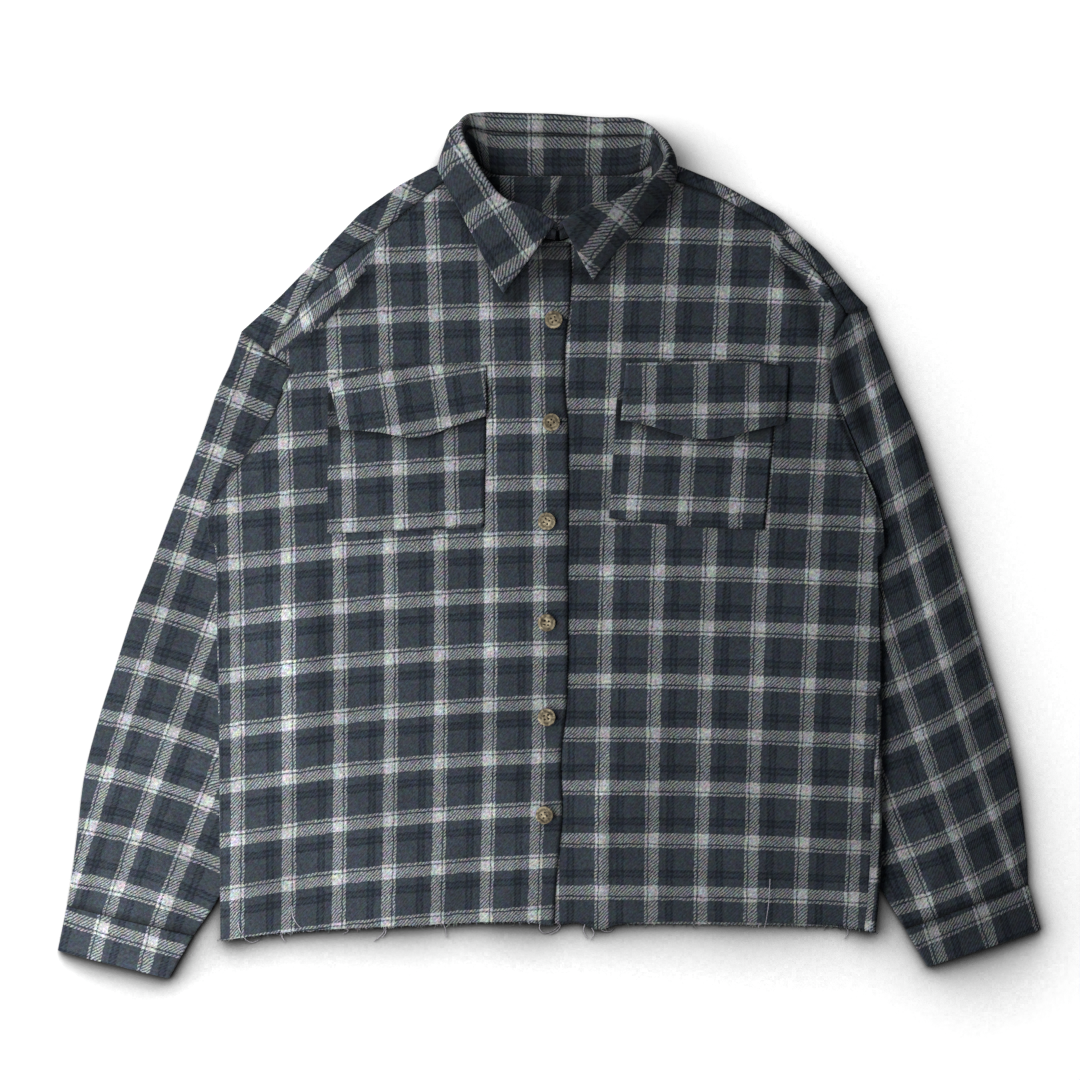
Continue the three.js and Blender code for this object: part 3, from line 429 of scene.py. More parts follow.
# Long loose threads, as paths with their heights
LONG_THREADS = {
    "front_right": [
        [(-144, -324, 3), (-143, -331, 1.2), (-147, -336, 0.5), (-152, -340, 0.4)],
        [(-142, -325, 3), (-141.5, -332, 1), (-145, -337, 0.5)],
        [(-92, -323, 3), (-90, -330, 0.8), (-89, -337, 0.4)],
        [(-8, -322, 4), (-9, -329, 1), (-5, -333, 0.5), (4, -330, 0.5), (9, -325, 1.5)],
        [(5, -322, 4), (9, -326, 1.5), (6, -331, 0.5), (0, -334, 0.4)],
        [(-230, -330, 3), (-231, -336, 0.8), (-228, -341, 0.4)],
        [(-268, -322), (-266, -330), (-262, -338, 3), (-256, -341, 0.6), (-250, -338, 0.4)],
        [(-222, -308), (-221, -318), (-214, -328, 4), (-206, -331, 2.5), (-199, -328, 2.5)],
        [(-176, -320), (-177, -326, 3), (-174, -331, 0.8), (-179, -334, 0.4)],
    ],
    "front_left": [
        [(30, -325, 3), (29, -331, 0.8), (33, -338, 0.4)],
        [(36, -328, 3), (38, -333, 0.8), (35, -339, 0.4)],
        [(42, -327, 3), (46, -331, 1), (52, -331.5, 0.5), (55, -329, 0.4)],
        [(189, -285, 7.3), (188.5, -295, 7.4), (187.5, -308, 7.2), (185.5, -322, 6.4), (184.5, -328, 3)],
        [(255, -327, 3), (257, -333, 0.8), (254, -338, 0.4)],
    ],
}


# Below each shoulder seam the front is folded on itself: over the fold's edge the plaid lies another way
SHOULDER_FOLD = {
    "right": {"edge": [(-242, 160), (-228, 168), (-215, 180), (-198, 190), (-176, 214), (-163, 234), (-142, 262)], "from": -142, "to": -168, "join": (-152, 250)},
    "left": {"edge": [(186, 262), (193, 250), (207, 239), (220, 226), (236, 213), (252, 203)], "from": 188, "to": 202, "join": (192, 256)},
}


def nearest(points, x, y):
    """Signed distance to a line (positive on its left) and the share of its length, point by point."""
    p = np.asarray(points, float)
    run = np.concatenate([[0], np.cumsum(np.linalg.norm(np.diff(p, axis=0), axis=1))])
    best, signed, share = np.full(x.shape, 1e9), np.zeros(x.shape), np.zeros(x.shape)
    for k, (a, b) in enumerate(zip(p[:-1], p[1:])):
        way = b - a
        size = max(float(np.hypot(*way)), 1e-9)
        t = np.clip(((x - a[0]) * way[0] + (y - a[1]) * way[1]) / size**2, 0, 1)
        gap_x, gap_y = x - a[0] - t * way[0], y - a[1] - t * way[1]
        d = np.hypot(gap_x, gap_y)
        closer = d < best
        best = np.where(closer, d, best)
        signed = np.where(closer, d * np.sign(way[0] * gap_y - way[1] * gap_x), signed)
        share = np.where(closer, (run[k] + t * size) / run[-1], share)
    return signed, share


def ripple(x, y):
    """Low uneven waves of cloth that has been worn and laid by hand, at most a millimetre and a half."""
    wave = 0.8 * np.sin(x / 37 + 1.7 * np.sin(y / 57 + 0.4)) * np.sin(y / 47 + 1.1 * np.sin(x / 61))
    wave = wave + 0.5 * np.sin((x + y) / 27 + 2.1 + 1.3 * np.sin((x - y) / 49))
    return wave + 0.22 * np.sin((x * 0.8 - y * 1.2) / 13 + 0.7 + 1.5 * np.sin((x + 2 * y) / 37))


def creased(rows, x, y):
    total = np.zeros(np.shape(x))
    for c in rows:
        line = along(c["line"], 14)
        reach = 3 * max(c["left"], c["right"])
        near = (x > line[:, 0].min() - reach) & (x < line[:, 0].max() + reach)
        near &= (y > line[:, 1].min() - reach) & (y < line[:, 1].max() + reach)
        if not near.any():
            continue
        signed, share = nearest(line, x[near], y[near])
        wide = np.where(signed > 0, c["left"], c["right"])
        ends = smooth(share, 0, 0.22) * smooth(1 - share, 0, 0.22)
        total[near] += c["high"] * ends * np.exp(-((signed / wide) ** 2))
    return total


def cloth_uv(name, x, y):
    """Cloth coordinates in millimetres: stripes run where u repeats, bands where v does."""
    p = PLAID[name]
    dx, dy = (x - p["pin"][0]) / 100, (y - p["pin"][1]) / 100
    out = []
    for key in ("stripe", "band"):
        a, b, aa, ab, bb = p[key]
        out.append(p["way"] * (a * dx + b * dy + aa * dx * dx + ab * dx * dy + bb * dy * dy))
    return np.stack(out, axis=-1)


class Cloth:
    """A sheet of cloth: its middle surface, the plaid's coordinates on it, then a wall round it."""

    def __init__(self, name):
        self.name = name
        self.points, self.uv, self.tone, self.faces = [], [], [], []
        self.count = 0

    def add(self, points, uv, tone=1.0):
        """Rows of points with their place on the cloth and their tone, a factor on the colour that mostly holds painted
        shade; returns their numbers.
        """
        rows, columns = points.shape[:2]
        number = self.count + np.arange(rows * columns).reshape(rows, columns)
        self.points.append(points.reshape(-1, 3))
        self.uv.append(uv.reshape(-1, 2))
        self.tone.append((np.zeros((rows, columns)) + tone).ravel())
        self.count += rows * columns
        return number

    def grid(self, points, uv, tone=1.0):
        number = self.add(points, uv, tone)
        self.join(number)
        return number

    def join(self, number, ring=False):
        if ring:
            number = np.concatenate([number, number[:, :1]], axis=1)
        quads = np.stack([number[:-1, :-1], number[:-1, 1:], number[1:, 1:], number[1:, :-1]], axis=-1)
        self.faces.append(quads.reshape(-1, 4))

    def solid(self, wall, flip=False):
        points = np.concatenate(self.points)
        uv = np.concatenate(self.uv)
        tone = np.concatenate(self.tone)
        faces = np.concatenate(self.faces)
        if flip:
            faces = faces[:, ::-1]
        a, b, c, d = (points[faces[:, k]] for k in range(4))
        face_normal = np.cross(c - a, d - b)
        normal = np.zeros_like(points)
        for k in range(4):
            np.add.at(normal, faces[:, k], face_normal)
        normal /= np.maximum(np.linalg.norm(normal, axis=1), 1e-9)[:, None]
        n = len(points)
        edges = np.concatenate([faces[:, [k, (k + 1) % 4]] for k in range(4)])
        edges = edges[edges[:, 0] != edges[:, 1]]
        there = set(map(tuple, edges))
        rim = np.array([e for e in there if (e[1], e[0]) not in there], int).reshape(-1, 2)
        # The rim's middle stands out a little, so the cut edge is round
        out = np.zeros_like(points)
        way = points[rim[:, 1]] - points[rim[:, 0]]
        way /= np.maximum(np.linalg.norm(way, axis=1), 1e-9)[:, None]
        side = np.cross(way, normal[rim[:, 0]])
        for k in range(2):
            np.add.at(out, rim[:, k], side)
        length = np.linalg.norm(out, axis=1)
        on_rim = np.unique(rim)
        out[on_rim] /= np.maximum(length[on_rim], 1e-9)[:, None]
        middle = {v: 2 * n + i for i, v in enumerate(on_rim)}
        corners = np.concatenate([
            points + normal * wall / 2,
            points - normal * wall / 2,
            points[on_rim] + out[on_rim] * wall * 0.35,
        ])
        all_uv = np.concatenate([uv, uv, uv[on_rim]])
        all_tone = np.concatenate([tone, tone, tone[on_rim]])
        polygons = [tuple(f) for f in faces]
        polygons += [tuple(f[::-1] + n) for f in faces]
        for p, q in rim:
            polygons.append((q, p, middle[p], middle[q]))
            polygons.append((middle[q], middle[p], p + n, q + n))
        return self.make(corners, all_uv, all_tone, polygons)

    def make(self, corners, uv, tone, polygons):
        clean = []
        for f in polygons:
            ring = [int(v) for i, v in enumerate(f) if v != f[i - 1]]
            if len(ring) > 2:
                clean.append(ring)
        mesh = bpy.data.meshes.new(self.name)
        mesh.from_pydata(((corners + PLACE) * MM).tolist(), [], clean)
        layer = mesh.uv_layers.new(name="cloth")
        vertex = np.empty(len(mesh.loops), int)
        mesh.loops.foreach_get("vertex_index", vertex)
        layer.data.foreach_set("uv", (uv[vertex] * MM).ravel())
        mesh.attributes.new("tone", "FLOAT", "POINT").data.foreach_set("value", tone)
        mesh.shade_smooth()
        mesh.update()
        made = bpy.data.objects.new(self.name, mesh)
        bpy.context.scene.collection.objects.link(made)
        return made


def patch(bottom, top, left, right):
    """Plan grid between four outlines that meet at their ends."""
    v = np.linspace(0, 1, len(left))[:, None, None]
    u = np.linspace(0, 1, len(bottom))[None, :, None]
    grid = bottom[None] * (1 - v) + top[None] * v + left[:, None] * (1 - u) + right[:, None] * u
    grid = grid - bottom[0] * (1 - u) * (1 - v) - bottom[-1] * u * (1 - v)
    return grid - top[0] * (1 - u) * v - top[-1] * u * v


def steps_of(length, step):
    return max(4, int(round(length / step)))


def run_of(points):
    return float(np.linalg.norm(np.diff(np.asarray(points, float), axis=0), axis=1).sum())


def body_edge(side, last, inset):
    """Side edge and armhole of a body panel, from the hem up to armhole point last."""
    down = along(SIDE[side], 60)[::-1] + [inset * WAY[side], 0]
    arm = along(ARMHOLE[side], 200)
    end = np.argmin(np.hypot(*(arm - ARMHOLE[side][last]).T))
    return np.vstack([down, aside(arm, ALLOWANCE * WAY[side])[end:-3][::-1]])


def painted_seam_shade(distance, wide=1.8):
    """Tone of the cloth at a distance from a seam: painted shade, dark in the groove."""
    return 1 - 0.62 * np.exp(-((distance / wide) ** 2))


def worn(crease):
    """Tone from the height of a crease: painted shade, darker in its valley, and painted light, paler on its ridge."""
    return 1 + 0.11 * np.clip(crease, -2, 1.5)


def collar_painted_shadow(x, y):
    """Tone of the fronts beside the collar's leaves, which stand off them: their painted shadow."""
    tone = np.ones(np.shape(x))
    laid = [row for row in COLLAR if row["level"] == 1]
    for way in (1, -1):
        leaf = [row for row in laid if (row["neck"][0] - NECK_CENTRE[0]) * way < 0]
        leaf = leaf[::-1] if way == -1 else leaf
        line = np.array([leaf[0]["neck"][:2]] + [row["edge"][:2] for row in leaf], float) + LEAF_SHADE
        tone = tone * (1 - 0.62 * np.exp(-((far(line, x, y) / 9) ** 2)))
    return tone


def strands(name, paths, uvs, tones, radius):
    """Loose yarns as thin three-sided tubes along their paths, tapered at the end."""
    cloth = Cloth(name)
    corners, places, shades, polygons = [], [], [], []
    for path, uv, tone in zip(paths, uvs, tones):
        way = np.gradient(path, axis=0)
        way /= np.maximum(np.linalg.norm(way, axis=1), 1e-9)[:, None]
        side = np.cross(way, [0.31, 0.17, 0.93])
        side /= np.maximum(np.linalg.norm(side, axis=1), 1e-9)[:, None]
        other = np.cross(way, side)
        first = len(corners)
        size = radius * np.linspace(1, 0.55, len(path))[:, None]
        ring = [path + size * (side * cos(a) + other * sin(a)) for a in (0, 2 * pi / 3, 4 * pi / 3)]
        points = np.stack(ring, axis=1).reshape(-1, 3)
        corners.extend(points)
        places.extend([uv] * len(points))
        shades.extend([tone] * len(points))
        last = first + len(points) - 3
        for k in range(len(path) - 1):
            a = first + 3 * k
            for j in range(3):
                b = a + (j + 1) % 3
                polygons.append((a + j, b, b + 3, a + j + 3))
        polygons.append((first + 2, first + 1, first))
        polygons.append((last, last + 1, last + 2))
    return cloth.make(np.array(corners), np.array(places), np.array(shades), polygons)


def fringe(piece, hem, height):
    """Frayed yarn ends along a raw hem, and the few long threads that hang from it."""
    rng = np.random.default_rng(len(piece) * 7 + 3)
    paths, uvs, tones = [], [], []
    for k in range(int(run_of(hem) / 0.9)):
        x, y = hem[rng.integers(0, len(hem))] + rng.normal(0, 0.4, 2)
        z = float(height(x, y))
        reach = min(0.6 + rng.gamma(1.2, 0.7), 5)
        lean = rng.normal(0, 0.5)
        t = np.linspace(0, 1, 4)[:, None]
        bend = rng.normal(0, 0.35)
        spot = [x, y + 0.8, z + rng.uniform(-0.4, 0.4)] + t * [lean * reach, -(reach + 0.8), -min(reach * 0.5, z - 0.4)]
        spot[:, 0] += (bend * reach * t * t)[:, 0]
        paths.append(spot)
        uvs.append(cloth_uv(piece, x, y + 1.5) + rng.normal(0, 0.5, 2))
        tones.append(rng.uniform(0.7, 1.3))
    made = [strands(f"{piece}_fringe", paths, uvs, tones, 0.2)]
    made[0].data.materials.append(flannel())
    long = []
    for path in LONG_THREADS.get(piece, []):
        on_cloth = [p if len(p) == 3 else (*p, float(height(*p)) + 1.2) for p in path]
        long.append(along(np.array(on_cloth, float), 16))
    if long:
        white = [(0.0, 0.0)] * len(long)
        made.append(strands(f"{piece}_long_threads", long, white, [1.25] * len(long), 0.3))
        made[1].data.materials.append(flannel())
    for part in made:
        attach(part, "root")
    return made


def finish_piece(made, replaced, material):
    made.data.materials.clear()
    made.data.materials.append(material)
    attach(made, "root")
    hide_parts(replaced)


# Materials


def linear(code):
    """sRGB hex to linear RGBA."""
    parts = [int(code[i : i + 2], 16) / 255 for i in (1, 3, 5)]
    return tuple(c / 12.92 if c <= 0.04045 else ((c + 0.055) / 1.055) ** 2.4 for c in parts) + (1.0,)


def node(tree, kind, settings=None, **links):
    """Adds a node; settings set its properties or sockets, links feed its sockets."""
    made = tree.nodes.new("ShaderNode" + kind)
    for key, value in (settings or {}).items():
        if isinstance(key, str) and hasattr(made, key):
            setattr(made, key, value)
        else:
            made.inputs[key].default_value = value
    for key, source in links.items():
        socket = int(key[1:]) if key[0] == "i" and key[1:].isdigit() else key.replace("_", " ")
        tree.links.new(source, made.inputs[socket])
    return made


def ramp_of(tree, source, stops, easing="LINEAR"):
    made = node(tree, "ValToRGB", Fac=source)
    made.color_ramp.interpolation = easing
    while len(made.color_ramp.elements) < len(stops):
        made.color_ramp.elements.new(0.5)
    for element, (place, colour) in zip(made.color_ramp.elements, stops):
        element.position = place
        element.color = linear(colour) if isinstance(colour, str) else (colour, colour, colour, 1)
    return made.outputs["Color"]


def base_material(name):
    found = bpy.data.materials.get(name)
    if found:
        return found, None
    made = bpy.data.materials.new(name)
    made.use_nodes = True
    made.node_tree.nodes.clear()
    return made, made.node_tree


# One repeat of the sett, in millimetres from the middle of the wide white stripe on a 43.5 mm repeat
SETT = [
    {"from": -17.6, "to": -15.4, "yarn": "navy"},
    {"from": -15.4, "to": -13.1, "yarn": "slate"},
    {"from": -13.1, "to": -10.9, "yarn": "navy"},
    {"from": -4.3, "to": 4.1, "yarn": "white"},
    {"from": 5.5, "to": 7.6, "yarn": "white"},
]
SETT_REPEAT = 43.5
BAND_REPEAT = 46.5


def sett_stops(colours):
    """Colour stops of one repeat, with soft edges half a millimetre wide."""
    soft = 0.25
    ends, yarns = [], []
    for stripe in SETT:
        if ends and stripe["from"] - ends[-1] < 0.1:
            yarns[-1] = stripe["yarn"]
        else:
            ends.append(stripe["from"])
            yarns.append(stripe["yarn"])
        ends.append(stripe["to"])
        yarns.append("base")
    stops, before = [(0.0, colours["base"])], "base"
    for place, after in zip(ends, yarns):
        stops.append(((place - soft) / SETT_REPEAT + 0.5, colours[before]))
        stops.append(((place + soft) / SETT_REPEAT + 0.5, colours[after]))
        before = after
    return stops + [(1.0, colours["base"])]


def flannel():
    """Brushed cotton flannel, 2/2 twill, yarn dyed: broken diagonals of two yarns, a matt nap that
    scatters light, heathered grey with near-white and navy yarns."""
    shirt = bpy.context.scene.shirt
    made, tree = base_material("brushed_cotton_flannel")
    if tree is None:
        return made
    colours = {"base": shirt.base_colour, "navy": shirt.navy_colour, "slate": shirt.slate_colour, "white": shirt.white_colour}
    cloth = node(tree, "UVMap", {"uv_map": "cloth"}).outputs["UV"]
    # Yarns wander by a few tenths of a millimetre
    wander = node(tree, "TexNoise", {"noise_dimensions": "2D", "Scale": 120.0, "Detail": 2.0}, Vector=cloth)
    centred = node(tree, "VectorMath", {"operation": "SUBTRACT", 1: (0.5, 0.5, 0.5)}, i0=wander.outputs["Color"])
    small = node(tree, "VectorMath", {"operation": "SCALE", "Scale": 0.0022}, i0=centred.outputs["Vector"])
    placed = node(tree, "VectorMath", {"operation": "ADD"}, i0=cloth, i1=small.outputs["Vector"])
    split = node(tree, "SeparateXYZ", Vector=placed.outputs["Vector"])
    yarns = []
    for axis, repeat in (("X", shirt.stripe_repeat), ("Y", shirt.band_repeat)):
        share = node(tree, "Math", {"operation": "MULTIPLY_ADD", 1: 1 / repeat, 2: 0.5}, i0=split.outputs[axis])
        wrapped = node(tree, "Math", {"operation": "FRACT"}, i0=share.outputs["Value"])
        yarns.append(ramp_of(tree, wrapped.outputs["Value"], sett_stops(colours)))
    # The real twill line is about 1.1 mm wide; it is drawn coarser, so that it shows
    across = node(tree, "Math", {"operation": "SUBTRACT"}, i0=split.outputs["X"], i1=split.outputs["Y"])
    turns = node(tree, "Math", {"operation": "MULTIPLY", 1: 2 * pi / shirt.twill_pitch}, i0=across.outputs["Value"])
    wave = node(tree, "Math", {"operation": "SINE"}, i0=turns.outputs["Value"])
    fuzz = node(tree, "TexNoise", {"noise_dimensions": "2D", "Scale": 900.0, "Detail": 2.0}, Vector=cloth)
    rough_wave = node(tree, "Math", {"operation": "MULTIPLY_ADD", 1: 3.0, 2: -1.5}, i0=fuzz.outputs["Fac"])
    mixed_wave = node(tree, "Math", {"operation": "ADD"}, i0=wave.outputs["Value"], i1=rough_wave.outputs["Value"])
    mask = node(
        tree, "MapRange", {"interpolation_type": "SMOOTHSTEP", "From Min": -1.15, "From Max": 1.15},
        Value=mixed_wave.outputs["Value"],
    ).outputs["Result"]
    woven = node(tree, "Mix", {"data_type": "RGBA"}, Factor=mask)
    tree.links.new(yarns[0], woven.inputs[6])
    tree.links.new(yarns[1], woven.inputs[7])
    # The long dark nap hides part of each white yarn, except where white crosses white
    napped = node(tree, "Mix", {"data_type": "RGBA", "blend_type": "DARKEN", 0: shirt.nap_cover})
    tree.links.new(woven.outputs[2], napped.inputs[6])
    darker = node(tree, "Mix", {"data_type": "RGBA", "blend_type": "DARKEN", 0: 1.0})
    tree.links.new(yarns[0], darker.inputs[6])
    tree.links.new(yarns[1], darker.inputs[7])
    tree.links.new(darker.outputs[2], napped.inputs[7])
    # Heather: tufts of lighter and darker fibre, and slow shade changes over the bolt
    tuft = node(tree, "TexNoise", {"noise_dimensions": "2D", "Scale": 420.0, "Detail": 4.0, "Roughness": 0.65}, Vector=cloth)
    heather = ramp_of(tree, tuft.outputs["Fac"], [(0.25, 0.5), (0.5, 1.0), (0.8, 1.6)])
    shade = node(tree, "TexNoise", {"noise_dimensions": "2D", "Scale": 14.0, "Detail": 3.0}, Vector=cloth)
    slow = ramp_of(tree, shade.outputs["Fac"], [(0.2, 0.82), (0.8, 1.16)])
    tint = node(tree, "TexNoise", {"noise_dimensions": "2D", "Scale": 140.0, "Detail": 5.0, "Roughness": 0.75}, Vector=cloth)
    fibres = node(tree, "HueSaturation", {"Saturation": 1.15, "Value": 1.95}, Color=tint.outputs["Color"])
    first = node(tree, "Mix", {"data_type": "RGBA", "blend_type": "MULTIPLY", "clamp_result": False, 0: 1.0})
    tree.links.new(napped.outputs[2], first.inputs[6])
    tree.links.new(heather, first.inputs[7])
    second = node(tree, "Mix", {"data_type": "RGBA", "blend_type": "MULTIPLY", "clamp_result": False, 0: 1.0})
    tree.links.new(first.outputs[2], second.inputs[6])
    tree.links.new(slow, second.inputs[7])
    third = node(tree, "Mix", {"data_type": "RGBA", "blend_type": "MULTIPLY", "clamp_result": False, 0: 0.5})
    tree.links.new(second.outputs[2], third.inputs[6])
    tree.links.new(fibres.outputs["Color"], third.inputs[7])
    # The tone attribute scales the colour: mostly painted shade and shadow in seams, creases and under the collar,
    # flaps and folds, beside the loose yarns' own tones
    tone = node(tree, "Attribute", {"attribute_name": "tone"})
    fourth = node(tree, "VectorMath", {"operation": "SCALE"}, i0=third.outputs[2], Scale=tone.outputs["Fac"])
    relief = node(tree, "Math", {"operation": "MULTIPLY_ADD", 1: 0.6}, i0=tuft.outputs["Fac"], i2=mask)
    bump = node(tree, "Bump", {"Strength": 0.5, "Distance": 0.0004}, Height=relief.outputs["Value"])
    skin = node(
        tree, "BsdfPrincipled",
        {"Roughness": 0.95, "IOR": 1.46, "Specular IOR Level": 0.12, "Sheen Weight": 0.06, "Sheen Roughness": 0.5},
        Base_Color=fourth.outputs["Vector"], Normal=bump.outputs["Normal"],
    )
    node(tree, "OutputMaterial", Surface=skin.outputs["BSDF"])
    return made


def horn():
    """Polyester cast to look like horn, turned and polished: khaki brown with paler and darker
    streaks, a dark ring round the dish, a clear shine."""
    shirt = bpy.context.scene.shirt
    made, tree = base_material("cast_polyester_horn")
    if tree is None:
        return made
    place = node(tree, "TexCoord").outputs["Object"]
    face = node(tree, "UVMap", {"uv_map": "face"}).outputs["UV"]
    from_middle = node(tree, "VectorMath", {"operation": "LENGTH"}, i0=face)
    rings = node(tree, "Math", {"operation": "DIVIDE", 1: 7.5 * MM}, i0=from_middle.outputs["Value"])
    ring = ramp_of(tree, rings.outputs["Value"], [(0.1, 1.25), (0.45, 1.1), (0.62, 0.5), (0.74, 0.55), (0.86, 1.0), (1.0, 0.7)])
    streak = node(tree, "TexNoise", {"Scale": 170.0, "Detail": 4.0, "Distortion": 1.6}, Vector=place)
    tone = ramp_of(tree, streak.outputs["Fac"], [(0.3, shirt.button_dark), (0.48, shirt.button_mid), (0.68, shirt.button_pale)])
    ringed = node(tree, "Mix", {"data_type": "RGBA", "blend_type": "MULTIPLY", "clamp_result": False, 0: 1.0})
    tree.links.new(tone, ringed.inputs[6])
    tree.links.new(ring, ringed.inputs[7])
    dust = node(tree, "TexNoise", {"Scale": 2200.0, "Detail": 2.0}, Vector=place)
    bump = node(tree, "Bump", {"Strength": 0.15, "Distance": 0.0001}, Height=dust.outputs["Fac"])
    skin = node(tree, "BsdfPrincipled", {"Roughness": 0.24, "IOR": 1.55}, Base_Color=ringed.outputs[2], Normal=bump.outputs["Normal"])
    node(tree, "OutputMaterial", Surface=skin.outputs["BSDF"])
    return made


# Settings


class ShirtSettings(bpy.types.PropertyGroup):
    step: bpy.props.FloatProperty(
        name="Mesh step", description="Distance between mesh lines on the cloth", default=3.6 * MM,
        min=1.5 * MM, unit="LENGTH", subtype="DISTANCE",
    )
    stripe_repeat: bpy.props.FloatProperty(
        name="Stripe repeat", description="Width of one repeat of the plaid across the cloth",
        default=43.5 * MM, unit="LENGTH", subtype="DISTANCE",
    )
    band_repeat: bpy.props.FloatProperty(
        name="Band repeat", description="Length of one repeat of the plaid along the cloth",
        default=46.5 * MM, unit="LENGTH", subtype="DISTANCE",
    )
    twill_pitch: bpy.props.FloatProperty(
        name="Twill pitch", description="Distance between the diagonals of the weave, as drawn",
        default=3.12 * MM, unit="LENGTH", subtype="DISTANCE",
    )
    nap_cover: bpy.props.FloatProperty(
        name="Nap cover", description="How much of a white yarn the dark nap hides where it crosses a dark yarn",
        default=0.32, min=0.0, max=1.0, subtype="FACTOR",
    )
    crease_depth: bpy.props.FloatProperty(
        name="Crease depth", description="How deep the creases are, 1.5 as worn and laid by hand", default=1.5, min=0.0, max=3.0,
    )
    base_colour: bpy.props.StringProperty(name="Ground yarn", description="Colour of the grey yarn, sRGB hex", default="#2a3037")
    navy_colour: bpy.props.StringProperty(name="Navy yarn", description="Colour of the navy yarn, sRGB hex", default="#121820")
    slate_colour: bpy.props.StringProperty(name="Slate yarn", description="Colour between the navy lines, sRGB hex", default="#1f262e")
    white_colour: bpy.props.StringProperty(name="White yarn", description="Colour of the white yarn, sRGB hex", default="#909394")
    button_dark: bpy.props.StringProperty(name="Button streak", description="Darkest colour of the buttons, sRGB hex", default="#352e25")
    button_mid: bpy.props.StringProperty(name="Button body", description="Main colour of the buttons, sRGB hex", default="#6f6552")
    button_pale: bpy.props.StringProperty(name="Button light", description="Palest colour of the buttons, sRGB hex", default="#a89d84")


class StageSettings(bpy.types.PropertyGroup):
    camera_height: bpy.props.FloatProperty(
        name="Camera height", description="Height of the camera above the surface", default=1.553, unit="LENGTH", subtype="DISTANCE",
    )
    floor_colour: bpy.props.StringProperty(name="Floor", description="Colour of the plain floor, sRGB hex", default="#7d7d7d")
    # Reach and depth of the floor's painted shadow
    shade_reach: bpy.props.FloatProperty(
        name="Shade reach", description="How far the shirt shades the floor", default=0.08, unit="LENGTH", subtype="DISTANCE",
    )
    shade_depth: bpy.props.FloatProperty(name="Shade depth", description="How dark that shade is", default=6.0)
    # The floor's glow is emission, painted light that keeps the card white
    floor_glow: bpy.props.FloatProperty(name="Floor glow", description="Light that comes through the floor card, which keeps it white", default=0.9, min=0.0)
    key_power: bpy.props.FloatProperty(name="Key light", description="Power of the soft light from the upper left", default=16.0, unit="POWER", min=0.0)
    side_power: bpy.props.FloatProperty(name="Side light", description="Power of the soft light from the lower left", default=13.5, unit="POWER", min=0.0)
    fill_power: bpy.props.FloatProperty(name="Fill", description="Strength of the even light from all round", default=0.14, min=0.0)


# Pieces


class SHIRT_OT_back(bpy.types.Operator):
    """Back panel, from the hem up to the yoke seam, under everything"""

    bl_idname = "shirt.back"
    bl_label = "Back"

    def execute(self, context):
        step = context.scene.shirt.step / MM * 1.6
        left, right = body_edge("right", 2, 3.4), body_edge("left", 4, 3.4)
        rows = steps_of(run_of(left), step)
        left, right = spaced(left, rows), spaced(right, rows)
        columns = steps_of(575, step)
        hem = along([HEM["right"][0], HEM["right"][1], HEM["right"][2], (0, -322), HEM["left"][3], HEM["left"][1], HEM["left"][0]], columns)
        top = along(YOKE_SEAM, columns) - [0, SEAM]
        hem[0], hem[-1], left[-1], right[-1] = left[0], right[0], top[0], top[-1]
        grid = patch(hem, top, left, right)
        x, y = grid[..., 0], grid[..., 1]
        z = np.maximum(lower(x, y) + 0.5 * ripple(x, y) * smooth(lower(x, y), 1, 4), 0.6)
        cloth = Cloth("back_cloth")
        cloth.grid(np.dstack([x, y, z]), cloth_uv("back", x, y))
        made = cloth.solid(WALL)
        finish_piece(made, "back", flannel())
        fray = fringe("back", hem[1:-1], lower)
        return {"FINISHED"}


